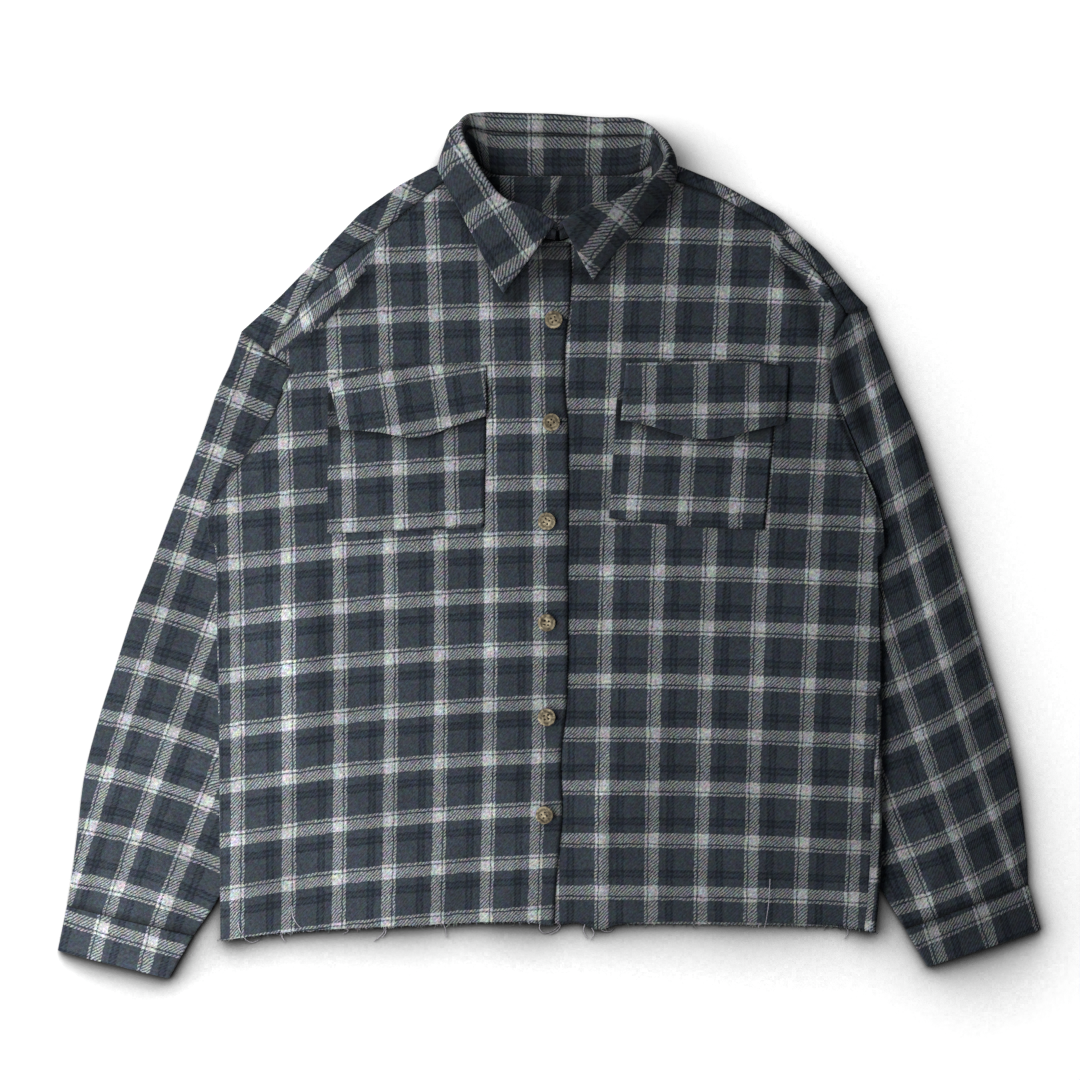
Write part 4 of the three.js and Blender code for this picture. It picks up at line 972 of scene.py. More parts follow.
class SHIRT_OT_fronts(bpy.types.Operator):
    """Two fronts; the side edge is turned down to the back, the right one laps over the left"""

    bl_idname = "shirt.fronts"
    bl_label = "Fronts"

    def execute(self, context):
        shirt = context.scene.shirt
        step = shirt.step / MM
        for side in ("right", "left"):
            way = WAY[side]
            height = ON_FRONT[side]
            neck = [row["neck"] for row in COLLAR if row["level"] == 1 and row["neck"][0] * way < 6 * way]
            foot = np.array(neck[::-1] if side == "right" else neck, float)
            neckline = aside(along(foot, 40), -STAND_GAP * -way)
            corner = (17, 261) if side == "right" else (-15, 262)
            seam = along(SHOULDER_SEAM[side], 60) - [0, 0.8]
            edge = body_edge(side, 1, SIDE_TURN + 0.7)
            edge[-1] = seam[0]
            rows = steps_of(run_of(edge), step)
            outline = np.vstack([seam, neckline, [corner]])
            columns = steps_of(run_of(outline), step)
            top, edge = spaced(outline, columns), spaced(edge, rows)
            hem = spaced(along(HEM[side], 120), columns)
            hem[0] = edge[0]
            opening = along(FRONT_EDGE[side], rows)
            opening[-1], hem[-1] = top[-1], opening[0]
            grid = patch(hem, top, edge, opening)
            x, y = grid[..., 0], grid[..., 1]
            z = self.relief(side, x, y, height, shirt)
            cloth = Cloth(f"front_{side}_cloth")
            if side == "left":
                order = slice(None, None, -1)
            else:
                order = slice(None)
            # Painted shade in the armhole, shoulder and neck seams
            tone = painted_seam_shade(far(ARMHOLE[side], x, y)) * painted_seam_shade(far(SHOULDER_SEAM[side], x, y)) * painted_seam_shade(far(foot, x, y), 2.5)
            # Painted shadow: under the fold's edge, under the collar and beside the lap the cloth is darkened
            edge = far(SHOULDER_FOLD[side]["edge"][1:-1], x, y)
            under = y < on_line(SHOULDER_FOLD[side]["edge"], x)
            tone = tone * (1 - 0.45 * np.where(under, np.exp(-((edge / 7) ** 2)), np.exp(-((edge / 0.8) ** 2))))
            tone = tone * (1 - 0.7 * np.exp(-(((x - 5) / 17) ** 2) - ((y - 255) / 15) ** 2))
            tone = tone * (1 - 0.5 * np.exp(-(((x + 15) / 13) ** 2) - ((y - 247) / 17) ** 2))
            # Painted shade in the creases' valleys and painted light on their ridges, and the collar leaves' painted
            # shadow
            tone = tone * worn(creased(CREASES, x, y)) * collar_painted_shadow(x, y)
            # Painted shade round the raised edges of the pocket and the flap
            for outline in (POCKET[side], FLAP[side]):
                ring = outline["top"] + outline["bottom"][::-1] + outline["top"][:1]
                tone = tone * (1 - 0.25 * np.exp(-((far(ring, x, y) / 1.6) ** 2)))
            number = cloth.grid(np.dstack([x, y, z])[:, order], cloth_uv(f"front_{side}", x, y)[:, order], tone[:, order])
            # The turned side edge, a quarter round from the panel down to the back
            below = int(np.searchsorted(edge[:, 1], SIDE[side][0][1] - 6))
            first = -1 if side == "left" else 0
            angle = np.radians([0, 18, 36, 54, 72])[None, :]
            x0, y0, z0 = (grid[:below, 0, 0], grid[:below, 0, 1], z[:below, 0])
            low = lower(x0, y0) - 0.1
            turn_x = x0[:, None] - way * SIDE_TURN * np.cos(angle)
            turn_y = np.repeat(y0[:, None], 5, axis=1)
            turn_z = low[:, None] + (z0 - low)[:, None] * np.sin(angle)
            uv_x = x0[:, None] - way * (SIDE_TURN + z0 - low)[:, None] * (1 - np.degrees(angle) / 90)
            ids = cloth.add(np.dstack([turn_x, turn_y, turn_z]), cloth_uv(f"front_{side}", uv_x, turn_y))
            ids = np.concatenate([ids, number[:below, first][:, None]], axis=1)
            cloth.join(ids[:, order])
            made = cloth.solid(WALL)
            self.relay(side, made)
            finish_piece(made, f"front_{side}", flannel())
            fray = fringe(f"front_{side}", along(HEM[side], 400), height)
        return {"FINISHED"}

    def relay(self, side, made):
        """Gives the folded shoulder, and the back's cloth rolled forward low on the left side, their own plaid."""
        layer = made.data.uv_layers["cloth"].data
        fold = SHOULDER_FOLD[side]
        join = np.array(fold["join"], float)
        repeat = np.array([SETT_REPEAT, BAND_REPEAT])
        step = np.round((cloth_uv(f"front_{side}", *join) - cloth_uv(f"fold_{side}", *join)) / repeat) * repeat
        for face in made.data.polygons:
            x, y = face.center.x / MM - PLACE[0], face.center.y / MM - PLACE[1]
            rolled = side == "left" and y < -89 and x > np.interp(y, [-332, -89], [270, 284])
            low, high = sorted((fold["edge"][0][0], fold["edge"][-1][0]))
            folded = low < x < high and y > on_line(fold["edge"], x)
            if not (rolled or folded):
                continue
            for loop in face.loop_indices:
                spot = made.data.vertices[made.data.loops[loop].vertex_index].co
                x, y = spot.x / MM - PLACE[0], spot.y / MM - PLACE[1]
                if rolled:
                    place = cloth_uv("side_left", x, y)
                else:
                    share = float(smooth(-x * WAY[side], -fold["from"] * WAY[side], -fold["to"] * WAY[side]))
                    place = lerp(cloth_uv(f"front_{side}", x, y), cloth_uv(f"fold_{side}", x, y) + step, share)
                layer[loop].uv = place * MM

    def relief(self, side, x, y, height, shirt):
        z = height(x, y) + ripple(x, y) + shirt.crease_depth * creased(CREASES, x, y)
        arm = far(ARMHOLE[side][1:], x, y)
        z = z - 1.2 * np.exp(-((arm / 2.4) ** 2)) + 0.4 * np.exp(-(((arm - 5) / 3) ** 2))
        seam = far(SHOULDER_SEAM[side], x, y)
        z = z - 0.7 * np.exp(-((seam / 2.2) ** 2))
        if side == "right":
            opening = far(FRONT_EDGE[side], x, y)
            z = z - 1.0 * np.exp(-((opening / 1.6) ** 2))
            fold = far([(p[0] - 62, p[1]) for p in FRONT_EDGE[side]], x, y)
            z = z - 0.35 * np.exp(-((fold / 2.0) ** 2))
        neck = far([row["neck"] for row in COLLAR if row["level"] == 1], x, y)
        z = z - 1.3 * np.exp(-((neck / 3.5) ** 2))
        return np.maximum(z, lower(x, y) + 1.2)


class SHIRT_OT_yoke(bpy.types.Operator):
    """One yoke across the back, folded over both shoulders to the forward seams"""

    bl_idname = "shirt.yoke"
    bl_label = "Yoke"

    def execute(self, context):
        step = context.scene.shirt.step / MM
        arm = {side: np.array(ARMHOLE[side], float) for side in WAY}
        under_edge = np.vstack([arm["right"][:2], along(YOKE_SEAM, 60), arm["left"][:4]])
        neck_back = [(r["neck"][0], r["neck"][1]) for r in COLLAR if r["level"] < 0.5]
        cloth = Cloth("yoke_cloth")
        spans = {"right": (-264, -68), "neck": (-68, 92), "left": (92, 273)}
        for part, (start, end) in spans.items():
            xs = np.linspace(start, end, steps_of(end - start, step) + 1)
            beyond = 2.0 * np.maximum(1 - smooth(xs, -226, -220), smooth(xs, 240, 246))
            foot = on_line(under_edge, xs) + 0.5 - beyond
            if part == "neck":
                top = on_line([(-68, 341 - 4)] + neck_back + [(92, 336 - 4)], xs) + 1.2
                share = np.linspace(0, 1, 26)
                y = lerp(foot[None], top[None], share[:, None])
                x = np.repeat(xs[None], len(share), axis=0)
                z = np.full(x.shape, FLOOR)
                # The neck's painted shade, and a fold of the back whose shadow is painted as a dark wedge
                past = x - np.interp(y, [293, 318], [-10.5, 11.5])
                wedge = smooth(past, -1, 2) * (1 - smooth(x, 15, 22)) * smooth(y, 284, 292)
                tone = 0.78 * (1 - 0.5 * wedge) * painted_seam_shade(top[None] - y, 3)
                strip = cloth_uv("yoke", x, y)
                strip[..., 0] += np.where(past < 0, NECK_FOLD, 0)
                cloth.grid(np.dstack([x, y, z])[::-1], strip[::-1], tone[::-1])
                continue
            fold = on_line(SHOULDER[part], xs) - WALL / 2
            seam = on_line(SHOULDER_SEAM[part] + [ARMHOLE[part][0]], xs) + 0.5 - beyond
            seam = np.minimum(seam, fold - 2.5)
            high = upper(xs, fold) + 0.3
            bend = np.minimum((high - FLOOR) * 0.5, (fold - foot) * 0.3)
            share = np.linspace(0, 1, 20)[:, None]
            under_y = lerp(foot[None], (fold - bend)[None], share)
            arc = np.radians(np.linspace(-90, 90, 11))[1:-1, None]
            arc_y = (fold - bend)[None] + bend[None] * np.cos(arc)
            arc_z = ((high + FLOOR) / 2)[None] + ((high - FLOOR) / 2)[None] * np.sin(arc)
            share = np.linspace(0, 1, 9)[:, None]
            over_y = lerp((fold - bend)[None], np.minimum(seam, fold - bend - 0.6)[None], share)
            over_x = np.repeat(xs[None], 9, axis=0)
            sink = over_y - seam[None]
            over_z = upper(over_x, over_y) + 0.3 + ripple(over_x, over_y) * 0.6 * smooth(share, 0, 0.5)
            over_z = over_z - 0.7 * np.exp(-((sink / 2.2) ** 2))
            over_z = lerp(high[None], over_z, smooth(share, 0, 0.4))
            y = np.vstack([under_y, arc_y, over_y])
            z = np.vstack([np.full(under_y.shape, FLOOR), arc_z, over_z])
            x = np.repeat(xs[None], len(y), axis=0)
            around = np.vstack([
                2 * fold[None] - under_y,
                fold[None] + bend[None] * (1 - (np.degrees(arc) + 90) / 90),
                over_y,
            ])
            strip = cloth_uv(f"yoke_{part}", x, around)
            tone = painted_seam_shade(far(ARMHOLE[part], x, y)) * painted_seam_shade(far(SHOULDER_SEAM[part], x, y))
            cloth.grid(np.dstack([x, y, z])[::-1], strip[::-1], tone[::-1])
        made = cloth.solid(WALL, flip=True)
        finish_piece(made, "yoke", flannel())
        return {"FINISHED"}


def tube(name, rows, top_at, wall, step):
    """A flattened tube of cloth: a ring per row, with a mouth where a row is open."""
    cloth = Cloth(name)
    across = steps_of(150, step)
    angles = np.radians([30, 60, 90, 120, 150])
    rings, maps = [], []
    for row in rows:
        inner, outer = row["inner"], row["outer"]
        width = float(np.linalg.norm(outer - inner))
        at = lambda d: inner + (outer - inner) * (np.asarray(d, float) / width)[..., None]
        floor = wall / 2 + 0.1
        outer_top = float(top_at(at(width - 3), 0.98, row))
        half = (outer_top - floor) / 2
        bend_out = half + wall / 2
        inner_top = float(top_at(at(3.0), 0.02, row))
        half_in = (inner_top - floor) / 2
        bend_in = 0 if row["open"] else half_in + wall / 2
        d = np.linspace(bend_in, width - bend_out, across + 1)
        spots = at(d)
        z = top_at(spots, d / width, row)
        z = outer_top + (z - outer_top) * smooth(width - d, bend_out, bend_out + 6)
        if not row["open"]:
            z = inner_top + (z - inner_top) * smooth(d, bend_in, bend_in + 6)
        nose = at(width - bend_out + half * np.sin(angles))
        nose_z = floor + half * (1 - np.cos(angles))
        low = np.column_stack([spots, np.full(across + 1, floor)])
        ring = [low, np.column_stack([nose, nose_z]), np.column_stack([spots, z])[::-1]]
        if not row["open"]:
            back = at(bend_in - half_in * np.sin(angles))
            back_z = floor + half_in * (1 + np.cos(angles))
            ring.append(np.column_stack([back, back_z]))
        else:
            ring.append(np.repeat(ring[2][-1:], 5, axis=0))
        rings.append(np.vstack(ring))
        maps.append(row)
    points = np.array(rings)
    uv = rows[0]["uv"](points)
    start = np.arange(points.shape[0] * points.shape[1]).reshape(len(rings), -1)
    tone = np.array([row["tone"] for row in rows])
    cloth.add(points, uv, tone[:, None] * rows[0]["shade"](points))
    opened = sum(1 for row in rows if row["open"])
    span = 2 * across + 7
    if opened:
        number = start[: opened + 1]
        cloth.join(number[:, : span])
        a, b = start[opened - 1], start[opened]
        last = np.arange(span - 1, points.shape[1])
        tail = np.concatenate([b[last], b[:1]])
        half = len(tail) // 2
        mouth = [(a[span - 1], tail[k + 1], tail[k], tail[k]) for k in range(half)]
        mouth += [(a[0], tail[k + 1], tail[k], tail[k]) for k in range(half, len(tail) - 1)]
        mouth.append((a[span - 1], a[0], tail[half], tail[half]))
        cloth.faces.append(np.array(mouth))
    cloth.join(start[opened:], ring=True)
    return cloth


class SHIRT_OT_sleeves(bpy.types.Operator):
    """Two long sleeves, flattened tubes from the armhole seam to the cuff"""

    bl_idname = "shirt.sleeves"
    bl_label = "Sleeves"

    def execute(self, context):
        step = context.scene.shirt.step / MM
        for side in ("right", "left"):
            way = WAY[side]
            table = SLEEVE[side]
            arm = aside(np.array(ARMHOLE[side], float), SEAM * 2 * way)
            inner = [arm[row["seam"]] if "seam" in row else np.array(row["inner"], float) for row in table]
            inner[0] = inner[0] - [0, SEAM]
            outer = [row["outer"] for row in table]
            opened = sum(1 for row in table if "seam" in row)
            share = [0.0]
            for k in range(len(table) - 1):
                gap = max(np.linalg.norm(np.subtract(outer[k + 1], outer[k])), np.linalg.norm(inner[k + 1] - inner[k]))
                count = steps_of(gap, step * 1.1)
                share += [(k + (i + 1) / count) / (len(table) - 1) for i in range(count)]
            share = np.array(share)
            outs = curve_at(outer, share)
            ins = curve_at(inner, share)
            puff = np.interp(share * (len(table) - 1), range(len(table)), [row["puff"] for row in table])
            last = (opened - 1) / (len(table) - 1) + 1e-9
            uv = lambda p, side=side: tube_uv(f"sleeve_{side}", p)
            shade = lambda p, side=side: sleeve_shade(side, p)
            rows = [
                {"inner": i, "outer": o, "puff": f, "open": s <= last, "uv": uv, "shade": shade, "share": s, "tone": 1.0}
                for i, o, f, s in zip(ins, outs, puff, share)
            ]
            # Painted shade in the seams at the armhole and at the cuff
            for k, shade in enumerate((0.35, 0.7)):
                rows[k]["tone"] = rows[-1 - k]["tone"] = shade
            side_line = sorted([(p[1], p[0]) for p in SIDE[side] + ARMHOLE[side][4:]])
            side_line = np.array(side_line, float)
            pit = ARMHOLE[side][-1][1]

            def top_at(p, width_share, row):
                p = np.asarray(p, float)
                x, y = p[..., 0], p[..., 1]
                out = (np.interp(y, side_line[:, 0], side_line[:, 1]) - x) * way
                bare = smooth(y, pit, pit + 60) if row["open"] else smooth(out, 20, 45)
                swell = row["puff"] * np.sin(pi * np.clip(width_share, 0, 1))
                crease = sleeve_creases(side, x, y) * bare
                seam_dip = 1.2 * np.exp(-((far(ARMHOLE[side], x, y) / 2.4) ** 2)) if row["open"] else 0
                z = np.maximum(FLOOR + PLY + bare * (rises(x, y) + swell - 0.1) + 0.1 + crease - seam_dip, 1.8)
                if row["open"]:
                    # Near the pit the body lies on the sleeve, so the sleeve comes up to the seam
                    meet = (1 - bare) * smooth(y, pit, pit + 10) * np.exp(-((far(ARMHOLE[side], x, y) / 7) ** 2))
                    z = z + meet * np.maximum(upper(x, y) - 0.8 - z, 0)
                return z

            made = tube(f"sleeve_{side}_cloth", rows, top_at, WALL, step).solid(WALL, flip=side == "right")
            finish_piece(made, f"sleeve_{side}", flannel())
        return {"FINISHED"}


def tube_uv(name, points):
    return cloth_uv(name, points[..., 0], points[..., 1])


def sleeve_shade(side, points):
    """Painted shade of a sleeve: darker in its folds' valleys and paler on their ridges, a little darker where it
    slopes away from the lamps, and darker in the hollow at the head of the left sleeve.
    """
    x, y = points[..., 0], points[..., 1]
    slope = 0.89 if side == "right" else 0.9 + 0.1 * smooth(-y, 60, 200)
    slope = slope * (1 - 0.5 * np.exp(-((far(SLEEVE_HOLLOW, x * WAY[side], y) / 8) ** 2)) * (side == "left"))
    return slope * worn(creased(SLEEVE_CREASES[side], x, y))


def sleeve_creases(side, x, y):
    x, y = np.atleast_1d(x), np.atleast_1d(y)
    return 0.8 * ripple(x * 1.3, y * 1.1) + creased(SLEEVE_CREASES[side], x, y)


# The hollow between the left front and the fold at the head of its sleeve, where painted shade darkens the sleeve (x
# counted to the right)
SLEEVE_HOLLOW = [(-249, 176), (-256, 150), (-264, 126), (-272, 100)]

SLEEVE_CREASES = {
    "right": [
        {"line": [(-268, 150), (-292, 96), (-310, 40), (-322, -20)], "high": 1.8, "left": 8, "right": 12},
        {"line": [(-300, 60), (-318, 0), (-336, -70), (-350, -130)], "high": -1.3, "left": 10, "right": 10},
        {"line": [(-300, 20), (-290, -30), (-288, -90)], "high": 1.6, "left": 12, "right": 10},
        {"line": [(-320, -130), (-352, -180), (-384, -226)], "high": 1.5, "left": 10, "right": 8},
        {"line": [(-262, -120), (-300, -176), (-330, -240)], "high": 1.3, "left": 9, "right": 9},
        {"line": [(-393, -236), (-400, -270), (-405, -306)], "high": 1.6, "left": 6, "right": 5},
        {"line": [(-372, -244), (-380, -285), (-386, -316)], "high": 1.5, "left": 6, "right": 5},
        {"line": [(-350, -256), (-356, -292), (-361, -322)], "high": 1.6, "left": 6, "right": 5},
        {"line": [(-328, -272), (-333, -300), (-338, -328)], "high": 1.3, "left": 6, "right": 5},
    ],
    "left": [
        {"line": [(262, 200), (263, 174), (273, 147), (288, 112), (302, 70)], "high": 2.8, "left": 12, "right": 5},
        {"line": [(249, 172), (257, 150), (266, 122), (276, 92)], "high": -2.0, "left": 5, "right": 7},
        {"line": [(304, 100), (316, 50), (329, -10)], "high": 1.8, "left": 9, "right": 14},
        {"line": [(310, 30), (322, -30), (340, -90), (352, -140)], "high": 1.4, "left": 12, "right": 8},
        {"line": [(366, -190), (387, -244)], "high": 1.4, "left": 7, "right": 7},
        {"line": [(392, -240), (400, -292)], "high": 1.4, "left": 5, "right": 6},
        {"line": [(354, -256), (364, -310)], "high": 1.4, "left": 5, "right": 6},
        {"line": [(324, -280), (332, -322)], "high": 1.3, "left": 5, "right": 6},
    ],
}


class SHIRT_OT_cuffs(bpy.types.Operator):
    """Two cuffs, closed flattened tubes of doubled cloth"""

    bl_idname = "shirt.cuffs"
    bl_label = "Cuffs"

    def execute(self, context):
        step = context.scene.shirt.step / MM
        wall = 1.6
        for side in ("right", "left"):
            start, end = ({k: np.array(v, float) for k, v in row.items()} for row in CUFF[side])
            length = float(np.linalg.norm(end["outer"] - start["outer"]))
            rows = []
            uv = lambda p, side=side: tube_uv(f"cuff_{side}", p)
            # Painted shade over each whole cuff, and painted seam shade where the cuff meets the sleeve
            shade = lambda p, side=side: np.full(p.shape[:2], 0.92 if side == "right" else 0.84)
            for t in np.concatenate([[0.02, 0.04], np.linspace(0.08, 0.94, steps_of(length, step)), [0.98, 1.0]]):
                rows.append({
                    "inner": lerp(start["inner"], end["inner"], t), "outer": lerp(start["outer"], end["outer"], t),
                    "puff": lerp(2, 1.4, t), "open": False, "uv": uv, "shade": shade, "share": t, "tone": 0.4 if t < 0.03 else 1.0,
                })

            def top_at(p, width_share, row):
                p = np.asarray(p, float)
                t = row["share"]
                edge = 0.5 * np.exp(-((t * length / 1.5) ** 2)) + 0.5 * np.exp(-(((1 - t) * length / 1.5) ** 2))
                stitch = 0.35 * np.exp(-(((t * length - 5) / 1.2) ** 2)) + 0.35 * np.exp(-((((1 - t) * length - 6) / 1.2) ** 2))
                swell = row["puff"] * np.sin(pi * np.clip(width_share, 0, 1))
                return 0.9 + PLY + 0.5 + swell - edge - stitch + 0.4 * ripple(p[..., 0] * 1.5, p[..., 1] * 1.5)

            made = tube(f"cuff_{side}_cloth", rows, top_at, wall, step).solid(wall, flip=side == "right")
            finish_piece(made, f"cuff_{side}", flannel())
        return {"FINISHED"}


def collar_sections(count):
    """The stand's and the fall's points, section by section round the neck."""
    shares = np.linspace(0, 1, count + 1)
    feet = []
    for row in COLLAR:
        x, y = row["neck"]
        top = on_right_front(x, y) if x < NECK_CENTRE[0] else upper(x, y)
        feet.append((x, y, lerp(float(lower(x, y)), float(top), row["level"])))
    neck = curve_at(feet, shares)
    roll = curve_at([row["roll"] for row in COLLAR], shares)
    edge = curve_at([row["edge"] for row in COLLAR], shares)
    at = shares * (len(COLLAR) - 1)
    seam = np.interp(at, range(len(COLLAR)), [row["seam"] for row in COLLAR])
    bow = np.interp(at, range(len(COLLAR)), [row["bow"] for row in COLLAR])
    unit = lambda v: v / np.linalg.norm(v, axis=-1, keepdims=True)
    up, down = unit(roll - neck), unit(edge - roll)
    ahead = unit(up - down)
    across = neck - edge
    across = unit(across - ahead * (across * ahead).sum(axis=1, keepdims=True))
    centre = roll - ahead * NOSE
    turn = lambda a: centre + across * NOSE * cos(radians(a)) + ahead * NOSE * sin(radians(a))
    into, leave = turn(0), turn(180)
    length = np.linalg.norm(into - neck, axis=1)
    joint = seam - SEAM / length
    begin = seam + SEAM / length
    stand = np.stack([neck + (into - neck) * (s * joint)[:, None] for s in np.linspace(0, 1, 12)], axis=1)
    out = np.column_stack([roll[:, :2] - NECK_CENTRE, np.zeros(len(roll))])
    out = unit(out)
    out[:, 2] = 0.5
    rows = [neck + (into - neck) * lerp(begin, 1, s)[:, None] for s in np.linspace(0, 1, 4)]
    rows += [turn(a) for a in range(20, 180, 20)]
    for s in np.linspace(0, 1, 22):
        rows.append(lerp(leave, edge, s) + out * (bow * 4 * s * (1 - s))[:, None])
    return stand, np.stack(rows, axis=1), roll


class SHIRT_OT_collar(bpy.types.Operator):
    """Collar stand and the fall with its two points"""

    bl_idname = "shirt.collar"
    bl_label = "Collar"

    def execute(self, context):
        stand, fall, roll = collar_sections(170)
        middle = len(roll) // 2
        run = np.concatenate([[0], np.cumsum(np.linalg.norm(np.diff(roll, axis=0), axis=1))])
        around = run - run[middle] + roll[middle, 0]

        def rise(rows):
            gap = np.linalg.norm(np.diff(rows, axis=1), axis=2)
            return np.concatenate([np.zeros((len(rows), 1)), np.cumsum(gap, axis=1)], axis=1)

        # The collar is cut across the bolt, so the cloth's stripes run round the neck
        round_neck = -(around - COLLAR_PLAID["back"]) * COLLAR_PLAID["round"]
        up = rise(stand)
        stand_uv = np.dstack([(up - COLLAR_PLAID["stand"]) * COLLAR_PLAID["up"], np.repeat(round_neck[:, None], up.shape[1], axis=1)])
        up = rise(fall)
        turned = up[:, 8:9]
        edge = fall[:, -1]
        start = np.column_stack([(turned[:, 0] - COLLAR_PLAID["fall"]) * COLLAR_PLAID["up"], round_neck])
        way = np.column_stack([np.full(len(roll), COLLAR_PLAID["up"]), np.zeros(len(roll))])
        at = np.linspace(0, 20, len(roll))
        for leaf in COLLAR_LEAVES:
            out, down = np.array(leaf["out"]), np.array(leaf["forward"])
            flat = lambda p: np.stack([(p[:, :2] - leaf["pin"]) @ out * COLLAR_PLAID["up"], (p[:, :2] - leaf["pin"]) @ down * COLLAR_PLAID["round"]], axis=1)
            share = smooth(at, *leaf["blend"])
            on_leaf = flat(roll)
            near = int(np.argmin(np.abs(share - 0.5)))
            on_leaf = on_leaf + np.round((start[near] - on_leaf[near]) / [SETT_REPEAT, BAND_REPEAT]) * [SETT_REPEAT, BAND_REPEAT]
            reach = np.linalg.norm(edge - roll, axis=1)[:, None]
            start = lerp(start, on_leaf, share[:, None])
            way = lerp(way, (flat(edge) - flat(roll)) / np.maximum(reach, 8), share[:, None])
        fall_uv = start[:, None] + way[:, None] * (up - turned)[..., None]

        # Painted light and shade: paler along the roll and the free edge as painted highlights, darker as painted shade
        # in the seams, on the stand as a whole and on the side turned from the light
        side = np.interp(at, [0, 5, 8, 12, 15, 20], [0.82, 0.84, 0.8, 0.75, 0.62, 0.58])[:, None]
        high = rise(stand)
        stand_tone = side * 0.9 * painted_seam_shade(high, 3) * painted_seam_shade(high[:, -1:] - high)
        low = up[:, -1:] - up
        fall_tone = side * painted_seam_shade(up, 1.6) * (1 + 0.6 * np.exp(-((low / 1.0) ** 2))) * (1 + 0.15 * np.exp(-(((up - turned) / 2.5) ** 2)))
        pieces = (
            ("collar_stand", stand, stand_uv, stand_tone, 0.0079, (0.36, 0.036)),
            ("collar_fall", fall, fall_uv, fall_tone, 0.0186, (0.36, 0.065)),
        )
        for name, rows, uv, tone, area, flat_size in pieces:
            cloth = Cloth(f"{name}_cloth")
            cloth.grid(rows, uv, tone)
            made = cloth.solid(1.4)
            finish_piece(made, name, flannel())
        return {"FINISHED"}


class SHIRT_OT_pockets(bpy.types.Operator):
    """Two chest pockets with pointed flaps, sewn on the fronts"""

    bl_idname = "shirt.pockets"
    bl_label = "Pockets and flaps"

    def execute(self, context):
        step = context.scene.shirt.step / MM * 0.7
        for side in ("right", "left"):
            pocket_top = POCKET[side]["top"][0][1]
            for kind, shape in (("pocket", POCKET[side]), ("flap", FLAP[side])):
                columns, rows = steps_of(136, step), steps_of(118 if kind == "pocket" else 60, step)
                top, bottom = along(shape["top"], columns), along(shape["bottom"], columns)
                left, right = along([shape["bottom"][0], shape["top"][0]], rows), along([shape["bottom"][-1], shape["top"][-1]], rows)
                grid = patch(bottom, top, left, right)
                x, y = grid[..., 0], grid[..., 1]
                base = ON_FRONT[side](x, y) + ripple(x, y)
                to_top, to_bottom = far(top, x, y), far(bottom, x, y)
                to_side = np.minimum(far(left, x, y), far(right, x, y))
                if kind == "pocket":
                    sewn = np.minimum(to_side, to_bottom)
                    rise = POCKET_RISE + 0.5 * smooth(sewn, 4, 18) - 0.5 * np.exp(-((sewn / 1.3) ** 2)) - 0.4 * np.exp(-(((sewn - 5.5) / 1.4) ** 2))
                else:
                    free = np.minimum(to_side, to_bottom)
                    beside = far(np.vstack([POCKET[side]["bottom"][-1], POCKET[side]["top"][-1]]), x, y)
                    rise = POCKET_RISE + FLAP_RISE * (1 - smooth(y, pocket_top + 3, pocket_top + 14))
                    rise = rise + 0.6 * (1 - smooth(to_bottom, 6, 30)) - 0.5 * np.exp(-((to_top / 1.5) ** 2)) - 0.4 * np.exp(-(((to_top - 6) / 1.4) ** 2))
                    rise = rise - 0.3 * np.exp(-(((free - 6) / 1.4) ** 2))
                    # Past the pocket's side the flap comes down to the front
                    past = beside * (x > np.interp(y, *zip(POCKET[side]["bottom"][-1][::-1], POCKET[side]["top"][-1][::-1])))
                    rise = lerp(rise, np.minimum(rise, 1.5), smooth(past, 1, 6))
                cloth = Cloth(f"{kind}_{side}_cloth")
                if kind == "pocket":
                    # Painted shadow of the flap on the pocket below its edge, and painted shade in the pocket's seams
                    drop = on_line(FLAP[side]["bottom"], x) - y
                    tone = (1 - 0.68 * np.exp(-(np.maximum(drop, 0) / 7) ** 2)) * (1 - 0.35 * np.exp(-((sewn / 1.3) ** 2)))
                else:
                    # Painted shade in the flap's top seam and in the stitched groove near its free edge
                    tone = (1 - 0.45 * np.exp(-((to_top / 1.3) ** 2))) * (1 - 0.2 * np.exp(-(((free - 6) / 1.4) ** 2)))
                cloth.grid(np.dstack([x, y, base + rise]), cloth_uv(f"{kind}_{side}", x, y), tone)
                made = cloth.solid(WALL)
                finish_piece(made, f"{kind}_{side}", flannel())
        return {"FINISHED"}


def deselect():
    for o in bpy.context.selected_objects:
        o.select_set(False)


